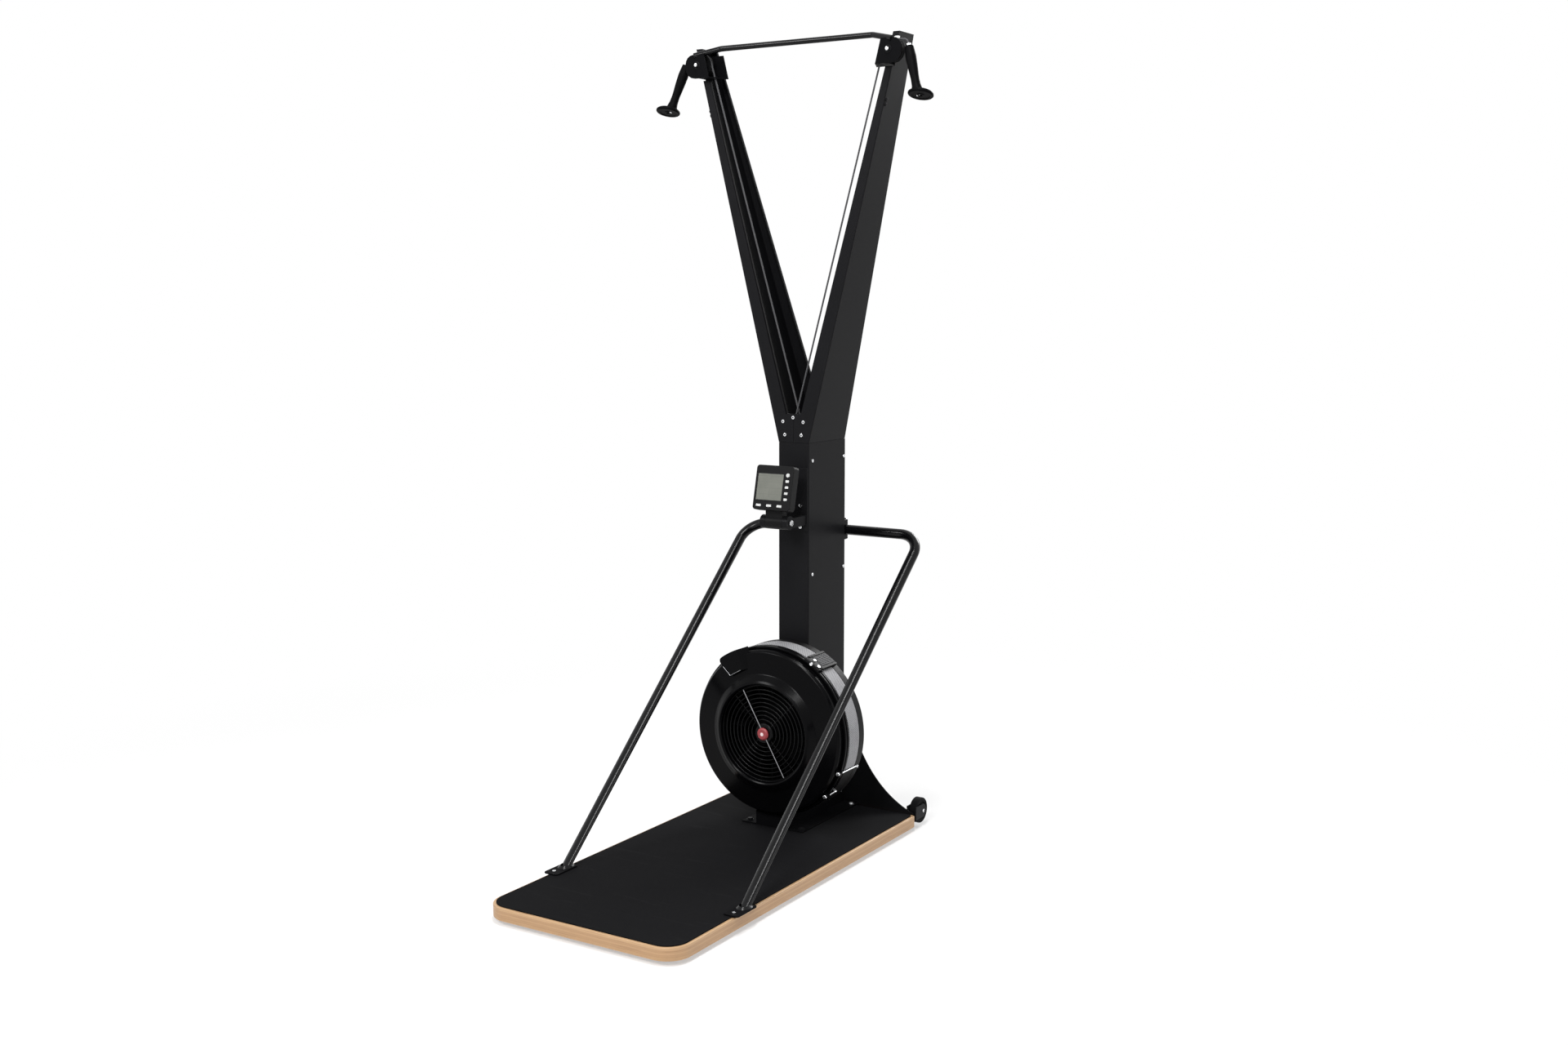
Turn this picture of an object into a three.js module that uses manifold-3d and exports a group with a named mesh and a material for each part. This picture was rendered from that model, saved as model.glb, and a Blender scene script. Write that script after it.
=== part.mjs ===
// A ski ergometer: a column with two V arms on a wooden deck, an air flywheel, two cord handles, a monitor.
// Millimetres, +Z up, +X to the user's right, the user stands at -Y and faces +Y.
import * as THREE from "three";
import { mergeVertices } from "three/addons/utils/BufferGeometryUtils.js";
import Module from "manifold-3d";

const wasm = await Module();
wasm.setup();

// Sides of round things
const largeSides = 36;
const middleSides = 18;
const smallSides = 10;
const wheelSides = 20;
const screwSides = 8;
const hexSides = 6;
const cornerSteps = 4;
const bendSteps = 7;
// Clearances and overrun of cuts
const gap = 0.3;
const overrun = 20;

// Deck
const deckWidth = 600;
const deckLength = 1231;
const deckThickness = 34;
const deckFrontCorner = 65;
const deckRearCorner = 12;
const matThickness = 3;
const matInset = 8;
const footHeight = 13;
const footRadius = 24;
const footInset = 62;

// Column
const columnWidth = 101.4;
const deckSeam = 2.1;
const columnDepth = 210.5;
const columnTop = 1160.3;
const columnWall = 3;
const coverThickness = 2;
const coverLip = 24;

// Arms
const armTop = 2284;
const armTopOut = 280.8;
const armFrontDrift = 3;
const armTopDepth = 85;
const armTopWidth = 20;
const notchHalfWidth = 23;
const notchRise = 82.7;
const armLip = 7;
const seamGap = 0.6;

// Joint plate and bolts of the V
const jointPlateBelow = 65.3;
const jointPlateDrop = 5;
const jointPlateHalfWidth = 43;
const jointBoltUpperX = 34;
const jointBoltUpperDrop = 22;
const jointBoltLowerX = 27.5;
const jointBoltLowerDrop = 60;
const jointBoltTopDrop = 10;

// Screws and bolts
const screwHeadRadius = 4.5;
const screwHeadHeight = 2.6;
const screwShankRadius = 2.5;
const screwShankLength = 7;
const boltHeadRadius = 7.5;
const boltHeadHeight = 5;
const boltShankRadius = 4;
const boltShankLength = 22;
const columnScrewFrontInset = 20;
const columnScrewRearInset = 10;
const columnScrewUpperDrop = 50.8;
const columnScrewLowerDrop = 381.3;

// Stay tube
const stayRadius = 15;
const stayHeight = 885;
const stayBehind = 3;
const stayBend = 70;
const stayFootInset = 12;
const stayFootY = 318;
const stayPlateThickness = 4;
const stayPlateWidth = 46;
const stayPlateCorner = 9;
const stayPlateFront = 252;
const stayPlateRear = 345;
const stayBoltY = 270;
const clampX = 30;
const clampWidth = 24;
const clampReach = 30;

// Gusset behind the column and base bracket
const gussetThickness = 4;
const gussetInset = 10;
const gussetTop = 400;
const gussetPullX = 105;
const gussetPullZ = 120;
const gussetBoltShare = 0.6;
const gussetSteps = 8;
const baseThickness = 4;
const baseHalfWidth = 104;
const baseAhead = 117.6;
const cheekHeight = 105;
const cheekThickness = 4;
const baseBoltX = 88;
const baseBoltFrontInset = 20;
const baseBoltRearInset = 18;
const cheekBoltAhead = 16.6;
const cheekBoltZ = 88;

// Transport wheels
const wheelRadius = 38;
const wheelWidth = 24;
const wheelInset = 17;
const wheelSetback = 45.9;
const wheelZ = 50;
const wheelAxleRadius = 5;
const wheelForkThickness = 3;
const wheelForkWeb = 2;
const wheelRoom = 1;
const tyreRound = 3;
const wheelForkRadius = 20;

// Top pulley housings and pulleys
const pulleyInset = 8.25;
const pulleySetback = 5.4;
const pulleyDrop = 49;
const grooveRadius = 27.8;
const pulleyFlangeRadius = 33.5;
const pulleyWidth = 13;
const grooveWidth = 6.4;
const flangeEdge = 1;
const axleRadius = 5;
const axleTipRadius = 3;
const axleSlimRadius = 4.5;
const axleCollar = 4;
const housingWall = 3;
const housingAhead = 30;
const housingBehind = 32;
const housingHalfWidth = 40;
const housingAbove = 30;
const housingBelow = 37;
const housingRearReach = 68;
const housingRoundRadius = 32;
const housingTopRoundRadius = 26;
const armWindowBelow = 4;
const armWindowAbove = 7;
const armWindowDepth = 18;

// Guide pulleys inside the V
const guideX = 14;
const guideDrop = 31;
const guideSetback = 17.4;
const guideSpacing = 16;
const guideGrooveRadius = 19.2;
const guideFlangeRadius = 24.5;
const guideWidth = 10;
const guideAxleRadius = 3;
const guideAxleHead = 2;
const guideCollar = 4;
// Pull cords
const cordRadius = 2.5;
const cordSides = 8;
const drumWrapTurn = 150;
const leadGap = 3.1;// Crossbar
const crossbarRadius = 8;
const crossbarBendIn = 64;
const crossbarBendBack = 1;
const crossbarRise = 15;
const crossbarEndOut = 11;
const crossbarEndBack = 2;
const crossbarEndDrop = 3;
const crossbarBend = 26;

// Handles
const handleOut = 51;
const handleAhead = 7;
const handleRise = 5;
const handleOutLean = 0.3;
const handleFrontLean = 0.18;
const handleLength = 143;
const handleThroat = 10.2;
const handleShoulder = 13.4;
const handleBaseRadius = 35;
const handleBaseThickness = 13;
const handleBaseShift = 9;
const handleBaseLean = 0.3;
const handleRound = 2.5;
const waistStartShare = 0.36;
const waistEndShare = 0.6;
const ferruleRadius = 6;
const ferruleLength = 9;
const coreRadius = 3;
const endScrewRadius = 5;
const endScrewHeight = 3;

// Drive inside the column
const hubZ = 338.6;
const shaftRadius = 10;
const shaftAhead = 6;
const shaftBehind = 14;
const shaftRoom = 1.2;
const collarStep = 4;
const drumCoreRadius = 35.2;
const drumFlangeRadius = 43;
const drumWidth = 36;
const drumFlange = 3;
const drumRightSetback = 40;
const drumSpacing = 45;
const springPocketRadius = 29;
const springPocketDepth = 15;
const springInner = 16;
const springOuter = 27;
const springStrip = 1.2;
const springWidth = 11;
const springTurns = 3;
const springRoom = 1;
const bearingSetback = 3.4;
const bearingThickness = 15;
const bearingSpacing = 111;
const bearingHeight = 110;
const railThickness = 3;
const springPlateThickness = 4;

// Flywheel and its housing
const fanRadius = 225;
const fanHubRadius = 32;
const fanHubSetback = 28;
const fanRoom = 11;
const fanDiscThickness = 3;
const fanBand = 40;
const bladeCount = 16;
const bladeDepth = 86;
const bladeInner = 95;
const bladeThickness = 2.5;
const coverSkirtRadius = 239;
const screenSeam = 3;
const coverEdgeRadius = 233;
const coverSkirtDepth = 60;
const coverEdgeRound = 7;
const coverShell = 3.2;
const bevelOuter = 172;
const bevelOuterRise = 9;
const bevelInner = 147;
const bevelInnerRise = 26;
const recessRadius = 142;
const recessLip = 6;
const grilleSink = 12;
const grilleDepth = 6;
const grilleRings = 9;
const grilleInner = 30;
const grilleBar = 3.4;
const grilleSpokes = 4;
const grilleWire = 3.2;
const grilleWireTurn = 119.7;
const hubCapRadius = 18;
const hubCapSink = 1;
const hubCapRound = 4;
const screenRadius = 248.4;
const screenThickness = 2;
const screenWidth = 60;
const screenSetIn = 4;
const screenEndTurn = -26;
const screenTurnRoom = 0.2;
const rearCoverThickness = 7;
const rearCoverRoom = 12.6;
const rearRimRadius = 246;
const cagePosts = 8;
const cagePostTurn = 1;
const rearCoverBore = 16;
const rimLap = 1;
const bossRadius = 62;
const bossWall = 12;

// Damper
const damperOuter = 248.6;
const damperWidth = 36;
const damperRoom = 1.4;
const tabAhead = 16;
const tabThickness = 4;
const tabInner = 191;
const tabShoulder = 224;
const tabPointTurn = 126.5;
const tabOuter = 252;
const tabStartTurn = 111;
const tabEndTurn = 128;
const gripStartTurn = 50.5;
const gripEndTurn = 63;
const gripOuter = 258;
const gripSetIn = 3;
const gripRibs = 7;
const gripRibHeight = 1.6;
const gripEdge = 4;
// Monitor
const caseWidth = 124;
const caseHeight = 128;
const caseDepth = 29;
const caseCorner = 9;
const caseWall = 3;
const caseTilt = 13;
const caseAhead = 18.5;
const caseRise = 100;
const displayWidth = 85;
const displayHeight = 77;
const displayLeft = 7.5;
const displayDrop = 23;
const displayRecess = 2;
const displayThickness = 1.6;
const buttonWidth = 11;
const buttonHeight = 7;
const buttonProud = 1.4;
const buttonDepth = 5;
const buttonTravel = 1.2;
const sideButtonX = 44.5;
const sideButtons = 5;
const sideButtonTop = 37.5;
const sideButtonPitch = 17.2;
const lowButtonDrop = 51.5;
const lowButtonMiddle = -7.5;
const lowButtonPitch = 34.5;
const plateWidth = 98;
const plateBelow = 34;
const plateAbove = 148;
const plateThickness = 4;
const hingeAhead = 91.6;
const hingeZ = 941;
const hingeRadius = 20;
const hingeHalfWidth = 45;
const knuckleHalfWidth = 28;
const hingePinRadius = 5;
const hingePinHead = 7;
const hingePinHeadRadius = 9;
const earLowShare = 0.8;
const earHighShare = 0.6;
const plateBoltX = 27;
const plateBoltRise = 40;
const plateBoltDrop = 22;

// Values worked out from the sizes above
const columnHalf = columnWidth / 2;
const columnRear = deckLength + deckSeam;
const columnFront = columnRear - columnDepth;
const deckTop = footHeight + deckThickness + matThickness;
const woodTop = footHeight + deckThickness;
const baseTop = deckTop + baseThickness;
const armBottom = columnTop + seamGap;
const armRise = armTop - armBottom;
const splayShare = armTopOut / armRise;
const notchHeight = columnTop + notchRise;
const jointPlateBottom = columnTop - jointPlateBelow;
const jointPlateTop = notchHeight - jointPlateDrop;
const columnScrewUpperZ = columnTop - columnScrewUpperDrop;
const columnScrewLowerZ = columnTop - columnScrewLowerDrop;
const gussetHalfWidth = deckWidth / 2 - gussetInset;
const wheelX = deckWidth / 2 - wheelInset;
const stayHalfWidth = deckWidth / 2;
const stayFootX = stayHalfWidth - stayFootInset;
const wheelY = columnRear + wheelSetback;
const pulleyY = columnFront + pulleySetback;
const pulleyZ = armTop - pulleyDrop;
const pulleyX = columnHalf + (pulleyZ - armBottom) * splayShare - pulleyInset;
const housingFront = pulleyY - housingAhead;
const housingRear = pulleyY + housingBehind;
const housingTop = pulleyZ + housingAbove;
const housingBottom = pulleyZ - housingBelow;
const housingInnerRearX = pulleyX - housingRearReach;
const armWindowBottom = housingBottom - armWindowBelow;
const armWindowTop = housingTop + armWindowAbove;
const guideZ = notchHeight - guideDrop;
const guideFrontY = columnFront + guideSetback;
const guideRearY = guideFrontY + guideSpacing;
const crossbarBendX = pulleyX - crossbarBendIn;
const crossbarBendY = pulleyY + crossbarBendBack;
const crossbarZ = housingTop + crossbarRise;
const crossbarEndX = pulleyX + crossbarEndOut;
const crossbarEndY = housingFront + crossbarEndBack;
const crossbarEndZ = housingTop - crossbarEndDrop;
const handleTopX = pulleyX + handleOut;
const handleTopY = pulleyY - handleAhead;
const handleTopZ = pulleyZ + handleRise;
const rearCoverRear = columnFront - rearCoverRoom;
const rearCoverFront = rearCoverRear - rearCoverThickness;
const screenRear = rearCoverFront - screenSetIn;
const screenFront = screenRear - screenWidth;
const coverSkirtRear = screenFront - screenSeam;
const coverEdgeFront = coverSkirtRear - coverSkirtDepth;
const bevelOuterFront = coverEdgeFront - bevelOuterRise;
const bevelInnerFront = coverEdgeFront - bevelInnerRise;
const grilleFront = bevelInnerFront + grilleSink;
const hubCapFront = bevelInnerFront + hubCapSink;
const damperFront = coverSkirtRear - damperWidth;
const tabFront = coverEdgeFront - tabAhead;
const gripRear = screenRear - gripSetIn;
const fanHubFront = grilleFront + fanHubSetback;
const fanHubRear = rearCoverFront - fanRoom;
const bladeFront = fanHubRear - bladeDepth;
const bearingFrontStart = columnFront + bearingSetback;
const bearingRearStart = bearingFrontStart + bearingSpacing;
const drumRightY = bearingFrontStart + drumRightSetback;
const drumLeftY = drumRightY + drumSpacing;
const springPlateY = (drumRightY + drumLeftY) / 2;
const shaftFront = fanHubFront - shaftAhead;
const shaftRear = bearingRearStart + bearingThickness + shaftBehind;
const hingeY = columnFront - hingeAhead;
const caseFrontY = hingeY - caseAhead;
const caseMiddleZ = hingeZ + caseRise;
const plateBottom = hingeZ - plateBelow;
const plateTop = hingeZ + plateAbove;
const plateBoltUpperZ = hingeZ + plateBoltRise;
const plateBoltLowerZ = hingeZ - plateBoltDrop;
const pulleyPitch = grooveRadius + gap + cordRadius;
const guidePitch = guideGrooveRadius + gap + cordRadius;
const drumPitch = drumCoreRadius + gap + cordRadius;
const stayRunY = columnRear + stayBehind + stayRadius;
const rearReach = wheelY + wheelRadius;

/** Colours and surfaces of the finishes, as seen in the photograph. */
const finishes = {
  wood: { color: 0xc8966a, roughness: 0.5, metalness: 0 },
  mat: { color: 0x202023, roughness: 0.85, metalness: 0 },
  rubber: { color: 0x151515, roughness: 0.9, metalness: 0 },
  coat: { color: 0x232325, roughness: 0.45, metalness: 0.2 },
  plastic: { color: 0x101012, roughness: 0.5, metalness: 0 },
  gloss: { color: 0x0b0b0d, roughness: 0.25, metalness: 0 },
  zinc: { color: 0xd8d8dc, roughness: 0.3, metalness: 1 },
  steel: { color: 0x9a9a9e, roughness: 0.35, metalness: 1 },
  screen: { color: 0x9b9b9d, roughness: 0.5, metalness: 0.4 },
  cord: { color: 0xb9b9bb, roughness: 0.8, metalness: 0 },
  cap: { color: 0x9c3a40, roughness: 0.4, metalness: 0 },
  display: { color: 0x88887f, roughness: 0.15, metalness: 0 },
  button: { color: 0xb9b9b6, roughness: 0.5, metalness: 0 },
};

const machine = new THREE.Group();
const sides = Object.entries({ left: -1, right: 1 });

/** Puts one named piece into the machine. */
function place(name, finish, solid) {
  const mesh = new THREE.Mesh(toGeometry(solid), new THREE.MeshStandardMaterial(finishes[finish]));
  mesh.name = name;
  machine.add(mesh);
}

/** A closed geometry as a solid, its faces turned out. */
function toSolid(geometry) {
  const loose = geometry.index ? geometry.toNonIndexed() : geometry;
  loose.deleteAttribute("normal");
  loose.deleteAttribute("uv");
  const merged = mergeVertices(loose);
  const points = merged.attributes.position.array;
  const triangles = Array.from(merged.index.array);
  const kept = [];
  let volume = 0;
  for (let i = 0; i < triangles.length; i += 3) {
    const [a, b, c] = [triangles[i], triangles[i + 1], triangles[i + 2]];
    if (a === b || b === c || c === a) continue;
    const [p, q, r] = [a, b, c].map((k) => new THREE.Vector3().fromArray(points, 3 * k));
    volume += p.dot(q.cross(r));
    kept.push(a, b, c);
  }
  if (volume < 0) kept.reverse();
  const vertProperties = new Float32Array(points);
  return new wasm.Manifold(new wasm.Mesh({ numProp: 3, vertProperties, triVerts: new Uint32Array(kept) }));
}

/** A solid as a geometry for a mesh. */
function toGeometry(solid) {
  const mesh = solid.getMesh();
  const geometry = new THREE.BufferGeometry();
  geometry.setAttribute("position", new THREE.BufferAttribute(new Float32Array(mesh.vertProperties), 3));
  geometry.setIndex(Array.from(mesh.triVerts));
  geometry.computeVertexNormals();
  return geometry;
}

/** Joins solids into one. */
function join(...solids) {
  return solids.flat().reduce((whole, solid) => whole.add(solid));
}

/** Cuts every other solid out of the first. */
function cut(body, ...tools) {
  return tools.flat().reduce((rest, tool) => rest.subtract(tool), body);
}

/** The same solid on the other side of the machine's middle plane. */
function mirrored(solid) {
  return toSolid(toGeometry(solid).scale(-1, 1, 1));
}

/** A solid turned and moved by a matrix. */
function moved(solid, matrix) {
  return toSolid(toGeometry(solid).applyMatrix4(matrix));
}

/** The right piece itself for side 1, its mirror image for side -1. */
function sided(side, solid) {
  return side > 0 ? solid : mirrored(solid);
}

/** A block between two corners. */
function block(x0, x1, y0, y1, z0, z1) {
  const box = new THREE.BoxGeometry(x1 - x0, y1 - y0, z1 - z0);
  return toSolid(box.translate((x0 + x1) / 2, (y0 + y1) / 2, (z0 + z1) / 2));
}

/** A round rod along an axis, from one place on it to the other, about the two other coordinates. */
function rod(axis, radius, from, to, u, v, segments) {
  const length = to - from;
  const middle = (from + to) / 2;
  const geometry = new THREE.CylinderGeometry(radius, radius, length, segments);
  if (axis === "x") return toSolid(geometry.rotateZ(Math.PI / 2).translate(middle, u, v));
  if (axis === "y") return toSolid(geometry.translate(u, middle, v));
  return toSolid(geometry.rotateX(Math.PI / 2).translate(u, v, middle));
}

/** An outline, extruded. */
function slab(points, depth) {
  const shape = new THREE.Shape(points.map(([u, v]) => new THREE.Vector2(u, v)));
  return new THREE.ExtrudeGeometry(shape, { depth, bevelEnabled: false });
}

/** An outline in x and y, extruded in z. */
function plateXY(points, z0, z1) {
  return toSolid(slab(points, z1 - z0).translate(0, 0, z0));
}

/** An outline in x and z, extruded in y. */
function plateXZ(points, y0, y1) {
  return toSolid(slab(points, y1 - y0).rotateX(Math.PI / 2).translate(0, y1, 0));
}

/** An outline in y and z, extruded in x. */
function plateYZ(points, x0, x1) {
  const turn = new THREE.Matrix4().makeBasis(
    new THREE.Vector3(0, 1, 0),
    new THREE.Vector3(0, 0, 1),
    new THREE.Vector3(1, 0, 0),
  );
  return toSolid(slab(points, x1 - x0).applyMatrix4(turn).translate(x0, 0, 0));
}

/** A profile of radius and y, turned about a line along y through (x, z). */
function turned(profile, x, z, segments) {
  const closed = [...profile, profile[0]].map(([r, y]) => new THREE.Vector2(r, y));
  return toSolid(new THREE.LatheGeometry(closed, segments).translate(x, 0, z));
}

/** A ring about a line along y through (x, z). */
function ring(inner, outer, y0, y1, x, z, segments) {
  return turned([[inner, y0], [outer, y0], [outer, y1], [inner, y1]], x, z, segments);
}

/** Points on an arc, turns in degrees counted from +x towards +z. */
function arc(x, z, radius, from, to, steps) {
  return Array.from({ length: steps + 1 }, (_, i) => {
    const turn = THREE.MathUtils.degToRad(from + ((to - from) * i) / steps);
    return [x + radius * Math.cos(turn), z + radius * Math.sin(turn)];
  });
}

/** A solid made about the flywheel's axis at height 0, turned by degrees and raised to its place. */
function aboutHub(solid, turn) {
  const matrix = new THREE.Matrix4().makeRotationY(-THREE.MathUtils.degToRad(turn));
  return moved(solid, matrix.premultiply(new THREE.Matrix4().makeTranslation(0, 0, hubZ)));
}

/** A part of a ring about the flywheel's axis, between two turns in degrees. */
function sector(inner, outer, y0, y1, from, to, steps) {
  const outline = [...arc(0, hubZ, outer, from, to, steps), ...arc(0, hubZ, inner, to, from, steps)];
  return plateXZ(outline, y0, y1);
}

/** A rectangle in two coordinates with a radius for its low corners and one for its high corners. */
function roundedRectangle(u0, u1, v0, v1, lowRadius, highRadius, steps) {
  return [
    ...arc(u0 + lowRadius, v0 + lowRadius, lowRadius, 180, 270, steps),
    ...arc(u1 - lowRadius, v0 + lowRadius, lowRadius, 270, 360, steps),
    ...arc(u1 - highRadius, v1 - highRadius, highRadius, 0, 90, steps),
    ...arc(u0 + highRadius, v1 - highRadius, highRadius, 90, 180, steps),
  ];
}

/** A route through a list of points, one step for each. */
class Route extends THREE.Curve {
  constructor(points) {
    super();
    this.points = points;
  }
  getPoint(share, target = new THREE.Vector3()) {
    const place = share * (this.points.length - 1);
    const first = Math.min(Math.floor(place), this.points.length - 2);
    return target.lerpVectors(this.points[first], this.points[first + 1], place - first);
  }
  getUtoTmapping(share) {
    return share;
  }
}

/** A round solid tube along points. */
function tubeAlong(points, radius, segments) {
  const outline = arc(0, 0, radius, 0, 360 - 360 / segments, segments - 1);
  const shape = new THREE.Shape(outline.map(([u, v]) => new THREE.Vector2(u, v)));
  const extrudePath = new Route(points);
  return toSolid(new THREE.ExtrudeGeometry(shape, { steps: points.length - 1, extrudePath }));
}

/** Corner points with each inner corner rounded by an arc. */
function filleted(corners, radius, steps) {
  const route = [corners[0]];
  for (let i = 1; i < corners.length - 1; i += 1) {
    const before = corners[i - 1].clone().sub(corners[i]).normalize();
    const after = corners[i + 1].clone().sub(corners[i]).normalize();
    const half = before.angleTo(after) / 2;
    const start = corners[i].clone().addScaledVector(before, radius / Math.tan(half));
    const centre = corners[i].clone().addScaledVector(before.clone().add(after).normalize(),
      radius / Math.sin(half));
    const from = start.clone().sub(centre);
    const axis = before.clone().cross(after).negate().normalize();
    const turn = Math.PI - 2 * half;
    for (let k = 0; k <= steps; k += 1) {
      route.push(from.clone().applyAxisAngle(axis, (turn * k) / steps).add(centre));
    }
  }
  route.push(corners[corners.length - 1]);
  return route;
}

/** A bolt along an axis: its head outside the surface,
  its shank going in. sense is the way the shank goes. */
function bolt(axis, sense, surface, u, v, big) {
  const [headRadius, headHeight, shankRadius, shankLength] = big
    ? [boltHeadRadius, boltHeadHeight, boltShankRadius, boltShankLength]
    : [screwHeadRadius, screwHeadHeight, screwShankRadius, screwShankLength];
  const ends = [surface - sense * headHeight, surface, surface + sense * shankLength];
  const head = rod(axis, headRadius, Math.min(ends[0], ends[1]), Math.max(ends[0], ends[1]), u, v,
    big ? hexSides : screwSides);
  const shank = rod(axis, shankRadius, Math.min(ends[0], ends[2]), Math.max(ends[0], ends[2]), u, v,
    screwSides);
  return join(head, shank);
}

/** The hole that a bolt's shank passes through. */
function boltHole(axis, surface, u, v, big) {
  const radius = (big ? boltShankRadius : screwShankRadius) + gap;
  const reach = (big ? boltShankLength : screwShankLength) + gap;
  return rod(axis, radius, surface - reach, surface + reach, u, v, screwSides);
}

// Places of the bolts that join pieces
const stayBolts = [[-stayFootX, stayBoltY], [stayFootX, stayBoltY]];
const baseFront = columnFront - baseAhead;
const cheekBoltY = columnFront - cheekBoltAhead;
const baseBoltRearY = columnRear - baseBoltRearInset;
const baseBoltFrontY = baseFront + baseBoltFrontInset;
const baseBolts = [-baseBoltX, baseBoltX].flatMap((x) => [baseBoltFrontY, baseBoltRearY].map((y) => [x,
  y]));
const stayBoltSurface = deckTop + stayPlateThickness;
const columnScrews = [columnScrewUpperZ, columnScrewLowerZ].flatMap((z) =>
  [columnFront + columnScrewFrontInset, columnRear - columnScrewRearInset].map((y) => [y, z]),
);
const jointBolts = [
  [0, notchHeight - jointBoltTopDrop],
  [jointBoltUpperX, notchHeight - jointBoltUpperDrop],
  [-jointBoltUpperX, notchHeight - jointBoltUpperDrop],
  [jointBoltLowerX, notchHeight - jointBoltLowerDrop],
  [-jointBoltLowerX, notchHeight - jointBoltLowerDrop],
];
const plateBolts = [-plateBoltX, plateBoltX].flatMap((x) => [plateBoltUpperZ, plateBoltLowerZ].map((z) =>
  [x, z]));
const plateFace = columnFront - plateThickness;

/** The holes down through the deck. */
function deckHoles() {
  return [
    ...stayBolts.map(([x, y]) => boltHole("z", stayBoltSurface, x, y, true)),
    ...baseBolts.map(([x, y]) => boltHole("z", baseTop, x, y, true)),
  ];
}

/** The wooden board, its mat and its feet. */
function buildDeck() {
  const half = deckWidth / 2;
  const board = roundedRectangle(-half, half, 0, deckLength, deckFrontCorner, deckRearCorner, bendSteps);
  place("deck_board", "wood", cut(plateXY(board, footHeight, woodTop), deckHoles()));
  const edge = half - matInset;
  const sheet = roundedRectangle(
    -edge, edge, matInset, deckLength - matInset, deckFrontCorner - matInset, deckRearCorner, bendSteps);
  place("deck_mat", "mat", cut(plateXY(sheet, woodTop, deckTop), deckHoles()));
  const rows = { front: footInset, rear: deckLength - footInset };
  for (const [row, y] of Object.entries(rows)) {
    for (const [name, side] of sides) {
      place(`${row}_${name}_foot`, "rubber", rod("z", footRadius, 0, footHeight,
        side * (half - footInset), y, smallSides));
    }
  }
}

/** The column: a folded front shell with a rear cover lapping inside it. */
function buildColumn() {
  const seam = columnRear - coverThickness;
  const inner = columnHalf - columnWall;
  let shell = cut(
    block(-columnHalf, columnHalf, columnFront, seam, baseTop, columnTop),
    block(-inner, inner, columnFront + columnWall, columnRear + overrun, baseTop - overrun,
      columnTop + overrun),
    rod("y", shaftRadius + shaftRoom, columnFront - overrun, columnFront + overrun, 0, hubZ, smallSides),
  );
  const lip = inner - gap;
  let cover = join(
    block(-columnHalf, columnHalf, seam, columnRear, baseTop, columnTop),
    [-1, 1].map((side) => block(
      Math.min(side * lip, side * (lip - coverThickness)), Math.max(side * lip,
        side * (lip - coverThickness)),
      seam - coverLip, seam + coverThickness / 2, baseTop, columnTop)),
  );
  const holes = [-1, 1].flatMap((side) => columnScrews.map(([y, z]) => boltHole("x", side * columnHalf, y,
    z, false)));
  shell = join(cut(shell, jointHoles(), plateHoles(), cheekHoles()), columnScrewSolids());
  cover = cut(cover, holes, clampHoles(), gussetHoles());
  place("column_shell", "coat", shell);
  place("column_rear_cover", "coat", cover);
}

/** The screws in the column's sides. */
function columnScrewSolids() {
  return [-1, 1].flatMap((side) => columnScrews.map(([y, z]) => bolt("x", -side, side * columnHalf, y, z,
    false)));
}

/** Holes for the bolts of the V joint. */
function jointHoles() {
  return jointBolts.map(([x, z]) => boltHole("y", columnFront, x, z, false));
}

/** Holes for the bolts of the monitor's plate. */
function plateHoles() {
  return plateBolts.map(([x, z]) => boltHole("y", plateFace, x, z, false));
}

const cheekFace = columnHalf + gap + cheekThickness;

/** Holes for the bolts through the base bracket's cheeks. */
function cheekHoles() {
  return [-1, 1].flatMap((side) => [cheekBoltY, columnRear - columnScrewFrontInset].map((y) =>
    boltHole("x", side * cheekFace, y, cheekBoltZ, false)));
}

const clampFace = stayRunY + stayRadius + gap;
const clampBolts = [-clampX, clampX].flatMap((x) => [-1, 1].map((end) =>
  [x, stayHeight + end * (stayRadius + clampReach) / 2]));

/** Holes for the clamps' bolts in the rear cover. */
function clampHoles() {
  return clampBolts.map(([x, z]) => rod("y", screwShankRadius + gap, columnRear - overrun,
    clampFace + overrun, x, z, screwSides));
}

const gussetBolts = [-1, 1].flatMap((side) => [1, 2].map((row) =>
  [side * columnHalf * gussetBoltShare, baseTop + (row * (gussetTop - baseTop)) / 3]));

/** Holes for the gusset's bolts in the rear cover. */
function gussetHoles() {
  return gussetBolts.map(([x, z]) => boltHole("y", columnRear + gussetThickness, x, z, false));
}

/** x of the arm's outer face at a height. */
function armOuter(z) {
  return columnHalf + (z - armBottom) * splayShare;
}

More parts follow.
